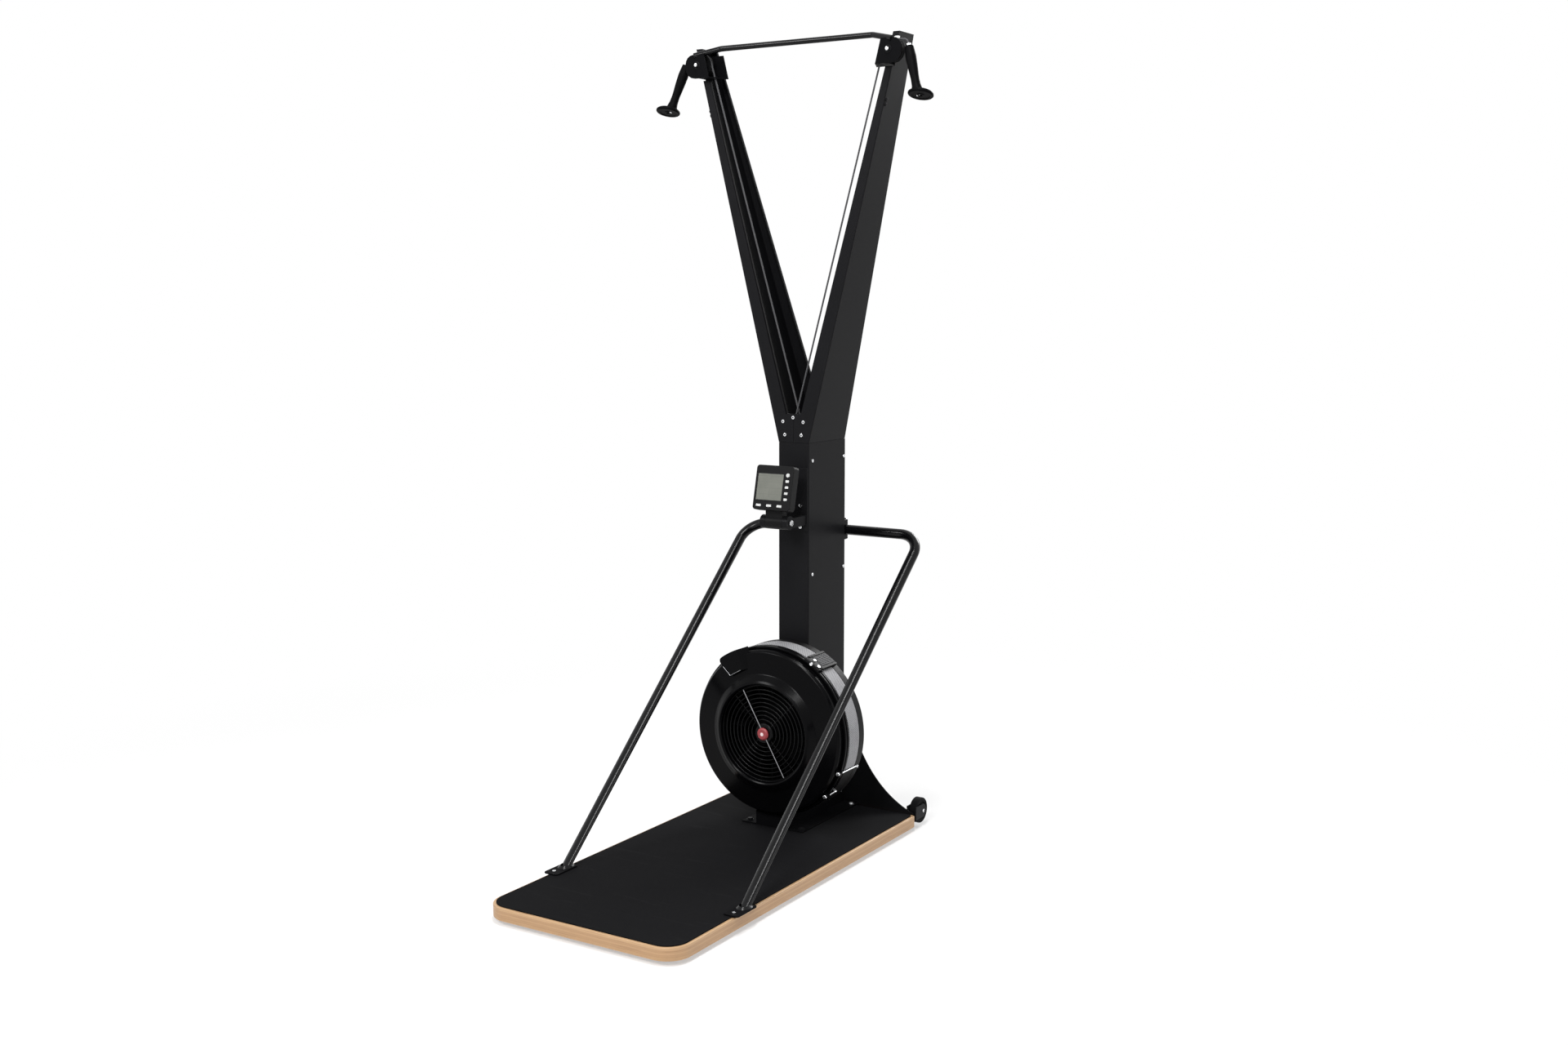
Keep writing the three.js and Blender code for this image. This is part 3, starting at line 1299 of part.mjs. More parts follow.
/** The monitor: plate with hinge ears, case with knuckle, display and buttons. */
function buildMonitor() {
  const ear = (x0, x1) => join(
    rod("x", hingeRadius, x0, x1, hingeY, hingeZ, middleSides),
    block(x0, x1, hingeY, plateFace + plateThickness / 2, hingeZ - hingeRadius * earLowShare,
      hingeZ + hingeRadius * earHighShare),
  );
  const plate = block(-plateWidth / 2, plateWidth / 2, plateFace, columnFront - gap, plateBottom, plateTop);
  const pinHole = rod("x", hingePinRadius + gap, -2 * hingeHalfWidth, 2 * hingeHalfWidth, hingeY, hingeZ,
    smallSides);
  const earStart = knuckleHalfWidth + gap;
  const mount = cut(
    join(plate, ear(-hingeHalfWidth, -earStart), ear(earStart, hingeHalfWidth)),
    pinHole);
  place("monitor_mount", "coat", join(mount, plateBolts.map(([x, z]) => bolt("y", 1, plateFace, x, z,
    false))));
  const pinReach = hingeHalfWidth + hingePinHead;
  const pin = join(
    rod("x", hingePinRadius, -pinReach, pinReach, hingeY, hingeZ, smallSides),
    rod("x", hingePinHeadRadius, hingeHalfWidth + gap, pinReach, hingeY, hingeZ, hexSides),
    rod("x", hingePinHeadRadius, -pinReach, -hingeHalfWidth - gap, hingeY, hingeZ, hexSides),
  );
  place("hinge_pin", "zinc", pin);
  const halfW = caseWidth / 2;
  const halfH = caseHeight / 2;
  const shellOuter = plateXZ(roundedRectangle(-halfW, halfW, -halfH, halfH, caseCorner, caseCorner,
    cornerSteps), 0, caseDepth);
  const faceDepth = buttonDepth + buttonTravel;
  const roomInner = block(-halfW + caseWall, halfW - caseWall, faceDepth, caseDepth - caseWall,
    -halfH + caseWall, halfH - caseWall);
  const displayX0 = -halfW + displayLeft;
  const displayZ1 = halfH - displayDrop;
  const windowCut = (grow, y0, y1) => block(displayX0 - grow, displayX0 + displayWidth + grow, y0, y1,
    displayZ1 - displayHeight - grow, displayZ1 + grow);
  const buttonCuts = buttonPlaces().map(([x, z]) => buttonBlock(x, z, gap, -overrun, caseDepth / 2));
  const shell = cut(shellOuter, roomInner, windowCut(0, -overrun, caseDepth / 2), buttonCuts);
  const ledge = cut(windowCut(caseWall, displayRecess + displayThickness + gap, faceDepth),
    windowCut(-caseWall, -overrun, overrun));
  const knuckle = join(
    rod("x", hingeRadius, -knuckleHalfWidth, knuckleHalfWidth, hingeY, hingeZ, middleSides),
    block(-knuckleHalfWidth, knuckleHalfWidth, hingeY - hingeRadius * earLowShare,
      hingeY + hingeRadius * earHighShare,
      hingeZ, hingeZ + hingeRadius * 2),
  );
  const clear = moved(block(-halfW, halfW, -overrun, caseDepth - caseWall / 2, -halfH + caseWall / 2,
    halfH), casePose);
  const body = cut(join(moved(join(shell, ledge), casePose), cut(knuckle, clear)), pinHole);
  place("monitor_case", "plastic", body);
  place("monitor_display", "display", moved(windowCut(-gap, displayRecess,
    displayRecess + displayThickness), casePose));
  buttonPlaces().forEach(([x, z], i) => {
    const head = buttonBlock(x, z, 0, -buttonProud, buttonDepth);
    place(`monitor_button_${i + 1}`, "button", moved(head, casePose));
  });
}

/** Places of the buttons on the case's face: five down its right side, three along its foot. */
function buttonPlaces() {
  const side = Array.from({ length: sideButtons }, (_, i) => [sideButtonX,
    sideButtonTop - i * sideButtonPitch]);
  const low = [-1, 0, 1].map((i) => [lowButtonMiddle + i * lowButtonPitch, -lowButtonDrop]);
  return [...side, ...low];
}

/** A button's block, grown by a clearance. */
function buttonBlock(x, z, grow, y0, y1) {
  return block(x - buttonWidth / 2 - grow, x + buttonWidth / 2 + grow, y0, y1,
    z - buttonHeight / 2 - grow, z + buttonHeight / 2 + grow);
}

buildDeck();
buildColumn();
buildArms();
buildStay();
buildBase();
buildWheels();
buildTop();
buildAxles();
buildCordsAndHandles();
buildDrive();
buildFan();
buildGrille();
buildHousing();
buildDamper();
buildMonitor();
machine.position.y = -rearReach / 2;

export default machine;
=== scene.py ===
"""Looks of a ski ergometer: wooden deck, column with two arms, air flywheel, cord handles and monitor."""

import logging
import math
from dataclasses import dataclass
from enum import Enum
from functools import cache, cached_property
from typing import Any, Callable, Iterable, Iterator, Mapping, Sequence

import bmesh
import bpy
from mathutils import Matrix, Vector


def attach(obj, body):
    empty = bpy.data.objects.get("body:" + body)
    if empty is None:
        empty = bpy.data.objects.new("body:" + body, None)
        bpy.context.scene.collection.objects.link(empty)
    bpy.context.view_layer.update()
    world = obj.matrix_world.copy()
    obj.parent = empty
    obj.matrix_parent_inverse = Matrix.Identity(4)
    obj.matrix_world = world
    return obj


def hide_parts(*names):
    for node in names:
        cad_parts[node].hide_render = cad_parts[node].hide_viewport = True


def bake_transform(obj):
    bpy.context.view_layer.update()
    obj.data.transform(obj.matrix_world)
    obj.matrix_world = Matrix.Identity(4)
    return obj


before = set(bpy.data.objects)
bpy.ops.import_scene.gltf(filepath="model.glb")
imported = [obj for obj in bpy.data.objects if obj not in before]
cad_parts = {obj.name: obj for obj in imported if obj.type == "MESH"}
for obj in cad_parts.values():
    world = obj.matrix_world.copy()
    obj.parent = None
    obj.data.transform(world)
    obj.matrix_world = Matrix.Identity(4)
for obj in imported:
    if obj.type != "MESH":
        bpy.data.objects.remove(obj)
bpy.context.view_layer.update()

LOG = logging.getLogger("ski_ergometer")
MM = 0.001
BOARD_SHIFT = 658.5
HUB_HEIGHT = 338.6
COLUMN_FRONT = 1022.6
COLUMN_REAR = 1233.1
COLUMN_HALF = 50.7
DECK_TOP = 50.0
TOP_PULLEY = (311.0, 1028.0, 2235.0)
GUIDE_X, GUIDE_Z, GUIDE_Y = 14.0, 1212.0, (1056.0, 1040.0)
HANDLE_TOP = (362.0, 1021.0, 2240.0)
HANDLE_AXIS = (0.3, -0.18, -0.9368)
RIGHT, BACK, UP = Vector((1, 0, 0)), Vector((0, 1, 0)), Vector((0, 0, 1))

Profile = Sequence[Sequence[float]]
Triple = tuple[float, float, float]
Inputs = dict[str, Any]
Places = Iterable[tuple[Vector, Vector]]


def mm(x: float, y: float, z: float) -> Vector:
    """A vector in metres from its millimetres."""
    return Vector((x, y, z)) * MM


def at(x: float, y: float, z: float) -> Vector:
    """A place in metres, from millimetres right of the middle, behind the deck's front and up."""
    return mm(x, y - BOARD_SHIFT, z)


HUB = at(0, 0, HUB_HEIGHT)


def around(radius: float, turn: float, y: float) -> Vector:
    """A place about the flywheel's axis, its turn in degrees from +x towards +z."""
    angle = math.radians(turn)
    return at(radius * math.cos(angle), y, HUB_HEIGHT + radius * math.sin(angle))


def turn_of(place: Vector) -> float:
    """The turn of a place about the flywheel's axis, in degrees from +x towards +z."""
    return math.degrees(math.atan2(place.z - HUB.z, place.x))


def mirrored(places: Places) -> Iterator[tuple[Vector, Vector]]:
    """Places and directions, and the same on the machine's other side.

    Args:
        places: Pairs of a place and a direction.

    Returns:
        Each pair, followed by its mirror image.
    """
    flip = Matrix.Diagonal((-1, 1, 1))
    for place, way in places:
        yield place, way
        yield flip @ place, flip @ way


def tone(red: float, green: float, blue: float, share: float = 1.0) -> tuple[float, ...]:
    """A colour of 0 to 255 as the eye sees it, times a share, as a shader holds it.

    Args:
        red: The red part.
        green: The green part.
        blue: The blue part.
        share: What each part is multiplied by.

    Returns:
        The linear colour, with an alpha of 1.
    """
    linear = [((c * share / 255 + 0.055) / 1.055) ** 2.4 if c * share > 10 else c * share / 3294.6
              for c in (red, green, blue)]
    return (*linear, 1.0)


def rounded(corners: Profile, steps: int = 4) -> Profile:
    """Rounds the corners of an outline.

    Args:
        corners: Two coordinates of each corner, and its radius where it isn't sharp.
        steps: Segments in each rounding.

    Returns:
        The outline's points.
    """
    points: list[tuple[float, float]] = []
    for i, (u, v, *radius) in enumerate(corners):
        if not radius:
            points.append((u, v))
            continue
        here = Vector((u, v))
        back, ahead = ((Vector(corners[k % len(corners)][:2]) - here).normalized() for k in (i - 1, i + 1))
        half = back.angle(ahead) / 2
        centre = here + (back + ahead).normalized() * (radius[0] / math.sin(half))
        start, end = (here + way * (radius[0] / math.tan(half)) - centre for way in (back, ahead))
        turn = math.atan2(start.x * end.y - start.y * end.x, start.dot(end))
        for k in range(steps + 1):
            c, s = math.cos(turn * k / steps), math.sin(turn * k / steps)
            points.append((centre.x + start.x * c - start.y * s, centre.y + start.x * s + start.y * c))
    return points


class Side(Enum):
    """The user's left and right, as the sign of x."""

    LEFT = -1
    RIGHT = 1

    @property
    def word(self) -> str:
        """The side as it stands in the names of the pieces."""
        return self.name.lower()


class Finish(Enum):
    """The surfaces that the machine is made of, by the record's names for them."""

    OAK_EDGE = "oak_edge"
    DECK_RUBBER = "deck_rubber"
    FOOT_RUBBER = "foot_rubber"
    BLACK_COAT = "black_coat"
    ZINC = "zinc"
    STEEL = "steel"
    CORD = "cord"
    GLOSS_PLASTIC = "gloss_plastic"
    MATTE_PLASTIC = "matte_plastic"
    GREY_SCREEN = "grey_screen"
    RED_CAP = "red_cap"
    DISPLAY = "display"
    BUTTON_GREY = "button_grey"


class Look(Enum):
    """Variants of a finish, each with its own tone or gloss."""

    TUBE = "tube_coat"
    # Darker, duller coat of the base bracket, the pulley housings and the stay's foot plates; on the arms'
    # inward faces it is painted shade.
    BASE = "base_coat"
    GRIP = "grip_plastic"
    HANDLE = "handle_plastic"
    RING = "ring_plastic"


class Socket:
    """A shader value that Python expressions work with."""

    def __init__(self, graph: "Graph", link: bpy.types.NodeSocket) -> None:
        """Keeps the graph and the output that holds the value."""
        self.graph, self.link = graph, link

    def math(self, operation: str, *values: "Socket | float") -> "Socket":
        """A Math node on this value and others, in that order."""
        return self.graph.math(operation, self, *values)

    def __add__(self, other: "Socket | float") -> "Socket":
        """This plus other."""
        return self.math("ADD", other)

    def __sub__(self, other: "Socket | float") -> "Socket":
        """This minus other."""
        return self.math("SUBTRACT", other)

    def __rsub__(self, other: float) -> "Socket":
        """Other minus this."""
        return self.graph.math("SUBTRACT", other, self)

    def __mul__(self, other: "Socket | float") -> "Socket":
        """This times other."""
        return self.math("MULTIPLY", other)

    def __truediv__(self, other: "Socket | float") -> "Socket":
        """This divided by other."""
        return self.math("DIVIDE", other)

    def __gt__(self, other: "Socket | float") -> "Socket":
        """1 where this is more than other, else 0."""
        return self.math("GREATER_THAN", other)

    def __lt__(self, other: "Socket | float") -> "Socket":
        """1 where this is less than other, else 0."""
        return self.math("LESS_THAN", other)

    __radd__ = __add__
    __rmul__ = __mul__


class Graph:
    """The shader nodes of one material or of the world."""

    def __init__(self, owner: bpy.types.Material | bpy.types.World) -> None:
        """Empties the owner's nodes.

        Args:
            owner: The material or world that holds the nodes.
        """
        owner.use_nodes = True
        self.tree = owner.node_tree
        self.tree.nodes.clear()

    def node(self, kind: str, settings: Mapping[str, Any] | None = None,
             inputs: Mapping[Any, Any] | None = None, output: int | str = 0) -> Socket | None:
        """Adds a node.

        Args:
            kind: The node's type, without its first word.
            settings: Its properties.
            inputs: Values or links by socket name or number.
            output: Name or number of the output that is wanted.

        Returns:
            That output, or None where the node has none.
        """
        node = self.tree.nodes.new(f"ShaderNode{kind}")
        for name, value in (settings or {}).items():
            setattr(node, name, value)
        for name, value in (inputs or {}).items():
            if isinstance(value, Socket):
                self.tree.links.new(value.link, node.inputs[name])
            else:
                node.inputs[name].default_value = value
        return Socket(self, node.outputs[output]) if node.outputs else None

    @cached_property
    def place(self) -> Socket:
        """The piece's own place."""
        return self.node("TexCoord", output="Object")

    @cached_property
    def seen(self) -> Socket:
        """1 for rays from the camera, off a gloss or through glass.

        Returns:
            The value as a socket.
        """
        camera, gloss, glass = (self.node("LightPath", output=f"Is {name} Ray")
                                for name in ("Camera", "Glossy", "Transmission"))
        return camera.math("MAXIMUM", gloss).math("MAXIMUM", glass)

    def math(self, operation: str, *values: "Socket | float") -> Socket:
        """A Math node on values and sockets."""
        return self.node("Math", {"operation": operation}, dict(enumerate(values)))

    def axes(self, place: Socket | None = None) -> list[Socket]:
        """The x, y and z of a place, or of the piece's own place."""
        return [self.node("SeparateXYZ", None, {0: place or self.place}, axis) for axis in "XYZ"]

    def mapped(self, scale: Sequence[float] = (1, 1, 1), shift: Sequence[float] = (0, 0, 0),
               turn: Sequence[float] = (0, 0, 0)) -> Socket:
        """The piece's own place, scaled, moved in metres and turned in radians along or about each axis."""
        return self.node("Mapping", None, {0: self.place, "Location": shift, "Rotation": turn, "Scale": scale})

    def noise(self, scale: float, detail: float = 2.0, place: Socket | None = None) -> Socket:
        """Cloudy noise between 0 and 1."""
        return self.node("TexNoise", None, {"Vector": place or self.place, "Scale": scale, "Detail": detail})

    def blend(self, share: Socket | float, low: Any, high: Any) -> Socket:
        """Mixes two colours."""
        return self.node("Mix", {"data_type": "RGBA", "clamp_factor": True}, {0: share, 6: low, 7: high}, 2)

    def bump(self, height: Socket, strength: float, distance: float) -> Socket:
        """The normal of a surface with a fine relief, its depth in metres."""
        return self.node("Bump", None, {"Strength": strength, "Distance": distance, "Height": height})


class Coating:
    """A finish that is made of shader nodes."""

    finish: Finish | Look

    def inputs(self, graph: Graph) -> Inputs:
        """The Principled surface's inputs by name."""
        raise NotImplementedError

    def build(self) -> bpy.types.Material:
        """The finish as a material.

        Returns:
            The new material.
        """
        material = bpy.data.materials.new(self.finish.value)
        graph = Graph(material)
        graph.node("OutputMaterial", None, {"Surface": graph.node("BsdfPrincipled", None, self.inputs(graph))})
        return material


@dataclass(frozen=True)
class PowderCoat(Coating):
    """Black powder coat on steel: satin, with a fine orange peel."""

    finish: Finish | Look = Finish.BLACK_COAT
    dark: float = 18.0
    light: float = 25.0
    roughness: float = 0.34
    peel: float = 1100.0
    gloss: float = 0.05
    relief: float = 0.12

    def inputs(self, graph: Graph) -> Inputs:
        """Clouded black, duller where the peel is high.

        Args:
            graph: The nodes of the finish's material.

        Returns:
            The values of the shader's inputs, by name.
        """
        cloud, peel = graph.noise(9.0, 4.0), graph.noise(self.peel, 1.0)
        low, high = tone(self.dark, self.dark, self.dark + 1), tone(self.light, self.light, self.light + 2)
        return {"Base Color": graph.blend(cloud * 0.7 + peel * 0.3, low, high),
                "Roughness": self.roughness + (cloud - 0.5) * 0.12 + (peel - 0.5) * self.relief * 0.8,
                "Specular IOR Level": self.gloss, "Normal": graph.bump(peel, self.relief, 0.0003)}


@dataclass(frozen=True)
class MouldedPlastic(Coating):
    """Black moulded plastic, with a fine spark-eroded grain when it is matte."""

    finish: Finish | Look = Finish.MATTE_PLASTIC
    colour: Triple = (12.0, 12.0, 13.0)
    roughness: float = 0.46
    grain: float = 1600.0
    relief: float = 0.25
    gloss: float = 0.1

    def inputs(self, graph: Graph) -> Inputs:
        """Clouded black with a grain.

        Args:
            graph: The nodes of the finish's material.

        Returns:
            The values of the shader's inputs, by name.
        """
        grain, cloud = graph.noise(self.grain, 1.0), graph.noise(14.0, 3.0)
        low, high = tone(*self.colour, 0.88), tone(*self.colour, 1.14)
        return {"Base Color": graph.blend(cloud * 0.6 + grain * 0.4, low, high),
                "Roughness": self.roughness + (cloud - 0.5) * 0.14 + (grain - 0.5) * 0.06,
                "Specular IOR Level": self.gloss, "Normal": graph.bump(grain, self.relief, 0.0002)}


@dataclass(frozen=True)
class LaminatedEdge(Coating):
    """The deck board: thin wooden layers with a fine grain along them."""

    finish: Finish = Finish.OAK_EDGE
    layer: float = 0.0057
    light: Triple = (192.0, 158.0, 119.0)
    deep: Triple = (161.0, 123.0, 86.0)
    glue: Triple = (128.0, 91.0, 60.0)

    def inputs(self, graph: Graph) -> Inputs:
        """A shade for each layer, with dark seams and flecks.

        Args:
            graph: The nodes of the finish's material.

        Returns:
            The values of the shader's inputs, by name.
        """
        level = graph.axes()[2] / self.layer
        shade = graph.node("TexWhiteNoise", {"noise_dimensions": "1D"}, {"W": level.math("FLOOR") + 7.3})
        grain = graph.noise(1.0, 5.0, graph.mapped((28.0, 28.0, 1500.0)))
        fleck = graph.noise(1.0, 3.0, graph.mapped((9.0, 9.0, 420.0)))
        base = graph.blend(shade * 0.55 + grain * 0.45, tone(*self.deep), tone(*self.light))
        seam = (level.math("FRACT") < 0.07) * 0.55
        return {"Base Color": graph.blend(seam.math("MAXIMUM", (fleck > 0.62) * 0.35), base, tone(*self.glue)),
                "Roughness": 0.42 + grain * 0.14, "Coat Weight": 0.12,
                "Normal": graph.bump(grain, 0.25, 0.0003)}


@dataclass(frozen=True)
class Rubber(Coating):
    """Black rubber: a pebbled mat or a plain foot."""

    finish: Finish = Finish.DECK_RUBBER
    colour: Triple = (13.5, 13.5, 15.0)
    pebbles: float = 520.0
    relief: float = 0.35
    roughness: float = 0.85
    gloss: float = 0.05

    def inputs(self, graph: Graph) -> Inputs:
        """Clouded black, a little shinier where it is scuffed.

        Args:
            graph: The nodes of the finish's material.

        Returns:
            The values of the shader's inputs, by name.
        """
        pebble = graph.node("TexVoronoi", None, {"Vector": graph.place, "Scale": self.pebbles}, "Distance")
        cloud = graph.noise(5.0, 5.0)
        scuff = graph.noise(1.0, 3.0, graph.mapped((7.0, 60.0, 30.0)))
        low, high = tone(*self.colour, 0.86), tone(*self.colour, 1.2)
        return {"Base Color": graph.blend(cloud * 0.6 + scuff * 0.4, low, high),
                "Roughness": self.roughness + (cloud - 0.5) * 0.12 - (scuff > 0.66) * 0.05,
                "Specular IOR Level": self.gloss, "Normal": graph.bump(pebble, self.relief, 0.0006)}


@dataclass(frozen=True)
class Metal(Coating):
    """Bare metal: bright zinc plate or turned steel, lightly brushed."""

    finish: Finish = Finish.ZINC
    colour: Triple = (236.0, 237.0, 239.0)
    roughness: float = 0.22
    brushing: float = 900.0

    def inputs(self, graph: Graph) -> Inputs:
        """Clouded metal, brushed along y.

        Args:
            graph: The nodes of the finish's material.

        Returns:
            The values of the shader's inputs, by name.
        """
        brush = graph.noise(1.0, 2.0, graph.mapped((self.brushing, 60.0, self.brushing)))
        cloud = graph.noise(60.0, 3.0)
        return {"Base Color": graph.blend(cloud, tone(*self.colour, 0.9), tone(*self.colour)), "Metallic": 1.0,
                "Roughness": self.roughness + (brush - 0.5) * 0.2 + (cloud - 0.5) * 0.1,
                "Normal": graph.bump(brush, 0.12, 0.0002)}


@dataclass(frozen=True)
class BraidedCord(Coating):
    """Light grey braided cord: crossing strands a little apart in tone."""

    finish: Finish = Finish.CORD
    strand: float = 0.0021

    def inputs(self, graph: Graph) -> Inputs:
        """Strands that rise to both sides.

        Args:
            graph: The nodes of the finish's material.

        Returns:
            The values of the shader's inputs, by name.
        """
        x, y, z = graph.axes()
        rise = ((z + x + y) / self.strand).math("FRACT") - 0.5
        fall = ((z - x - y) / self.strand).math("FRACT") - 0.5
        weave = rise.math("ABSOLUTE").math("MINIMUM", fall.math("ABSOLUTE")) * 2.0
        return {"Base Color": graph.blend(weave, tone(58, 58, 60), tone(96, 96, 98)), "Specular IOR Level": 0.2,
                "Roughness": 0.8 - weave * 0.12, "Normal": graph.bump(weave, 0.5, 0.0005)}


@dataclass(frozen=True)
class PerforatedScreen(Coating):
    """The grey screen band round the fan: rows of small holes, set half a pitch apart."""

    finish: Finish = Finish.GREY_SCREEN
    pitch: float = 0.0044
    hole: float = 0.33
    radius: float = 0.2484

    def inputs(self, graph: Graph) -> Inputs:
        """Grey metal; the holes are painted dark, as painted shade of the inside seen through them.

        Args:
            graph: The nodes of the finish's material.

        Returns:
            The values of the shader's inputs, by name.
        """
        x, y, z = graph.axes()
        along = (z - HUB_HEIGHT * MM).math("ARCTAN2", x) * (self.radius / self.pitch)
        across = y / (self.pitch * 0.87)
        row = across.math("FLOOR").math("MODULO", 2.0).math("ABSOLUTE")
        u, v = (along + row * 0.5).math("FRACT") - 0.5, across.math("FRACT") - 0.5
        hole = (u * u + v * v).math("SQRT") < self.hole
        metal = graph.blend(graph.noise(40.0, 3.0), tone(152, 152, 155), tone(182, 182, 184))
        # Painted shade: the holes are coloured dark grey for the shaded inside that shows through them.
        return {"Base Color": graph.blend(hole, metal, tone(66, 66, 69)), "Roughness": 0.5 + hole * 0.3,
                "Specular IOR Level": 0.12, "Normal": graph.bump(1.0 - hole, 0.5, 0.0006)}


@dataclass(frozen=True)
class RedCap(Coating):
    """The hub's dull red cap, with a bright boss in the middle."""

    finish: Finish = Finish.RED_CAP
    boss: float = 0.0052

    def inputs(self, graph: Graph) -> Inputs:
        """Clouded red, nearly white on the boss.

        Args:
            graph: The nodes of the finish's material.

        Returns:
            The values of the shader's inputs, by name.
        """
        x, _, z = graph.axes()
        up, cloud = z - HUB_HEIGHT * MM, graph.noise(180.0, 3.0)
        boss = (x * x + up * up).math("SQRT") < self.boss
        paint = graph.blend(cloud, tone(122, 40, 46), tone(158, 60, 64))
        return {"Base Color": graph.blend(boss, paint, tone(225, 205, 205)),
                "Roughness": 0.4 - boss * 0.12 + cloud * 0.08, "Normal": graph.bump(cloud, 0.1, 0.0002)}


@dataclass(frozen=True)
class LiquidCrystal(Coating):
    """The monitor's glass: a grey-green field under a dark strip, with faint dividing lines."""

    finish: Finish = Finish.DISPLAY
    middle: Vector = at(0.0, 912.5, 1041.0)
    tilt: float = math.radians(13.0)

    def inputs(self, graph: Graph) -> Inputs:
        """A clouded field with a strip, rows and a column.

        Args:
            graph: The nodes of the finish's material.

        Returns:
            The values of the shader's inputs, by name.
        """
        turned = Matrix.Rotation(self.tilt, 3, "X") @ self.middle
        x, _, z = graph.axes(graph.mapped(shift=-turned, turn=(self.tilt, 0.0, 0.0)))
        cloud = graph.noise(30.0, 2.0)
        field = graph.blend(cloud, tone(94, 96, 90), tone(111, 112, 105))
        rows = ((z + 0.036) / 0.0172).math("FRACT") < 0.045
        column = ((x + 0.012).math("ABSOLUTE") < 0.0004) * (z < -0.001)
        glass = graph.blend(z > 0.0392, field, tone(52, 54, 54))
        return {"Base Color": graph.blend(rows.math("MAXIMUM", column) * 0.5, glass, tone(84, 88, 84)),
                "Roughness": 0.16 + cloud * 0.05, "Specular IOR Level": 0.3}


@cache
def paints() -> dict[Finish | Look, bpy.types.Material]:
    """Every finish and look of the machine, each made once.

    Returns:
        The material of each finish and look.
    """
    makers = (
        PowderCoat(), MouldedPlastic(), LaminatedEdge(), Rubber(), Metal(), BraidedCord(), PerforatedScreen(),
        RedCap(), LiquidCrystal(),
        Rubber(Finish.FOOT_RUBBER, (9, 9, 10), pebbles=900, relief=0.15, roughness=0.7, gloss=0.08),
        Metal(Finish.STEEL, (150, 150, 153), roughness=0.36, brushing=600),
        MouldedPlastic(Finish.GLOSS_PLASTIC, (5, 5, 6), roughness=0.2, grain=2200, relief=0.03, gloss=0.06),
        MouldedPlastic(Finish.BUTTON_GREY, (186, 187, 186), roughness=0.45, grain=1800, relief=0.15, gloss=0.4),
        PowderCoat(Look.TUBE, dark=4, light=7, roughness=0.22, peel=300, gloss=0.2, relief=0.004),
        PowderCoat(Look.BASE, dark=10, light=14, roughness=0.55, peel=1100, gloss=0.02, relief=0.08),
        MouldedPlastic(Look.RING, (5, 5, 6), roughness=0.24, grain=2200, relief=0.03, gloss=0.12),
        MouldedPlastic(Look.HANDLE, (6, 6, 7), roughness=0.5, grain=1600, relief=0.2, gloss=0.03),
        MouldedPlastic(Look.GRIP, (56, 56, 58), roughness=0.5, grain=1400, relief=0.3))
    return {maker.finish: maker.build() for maker in makers}


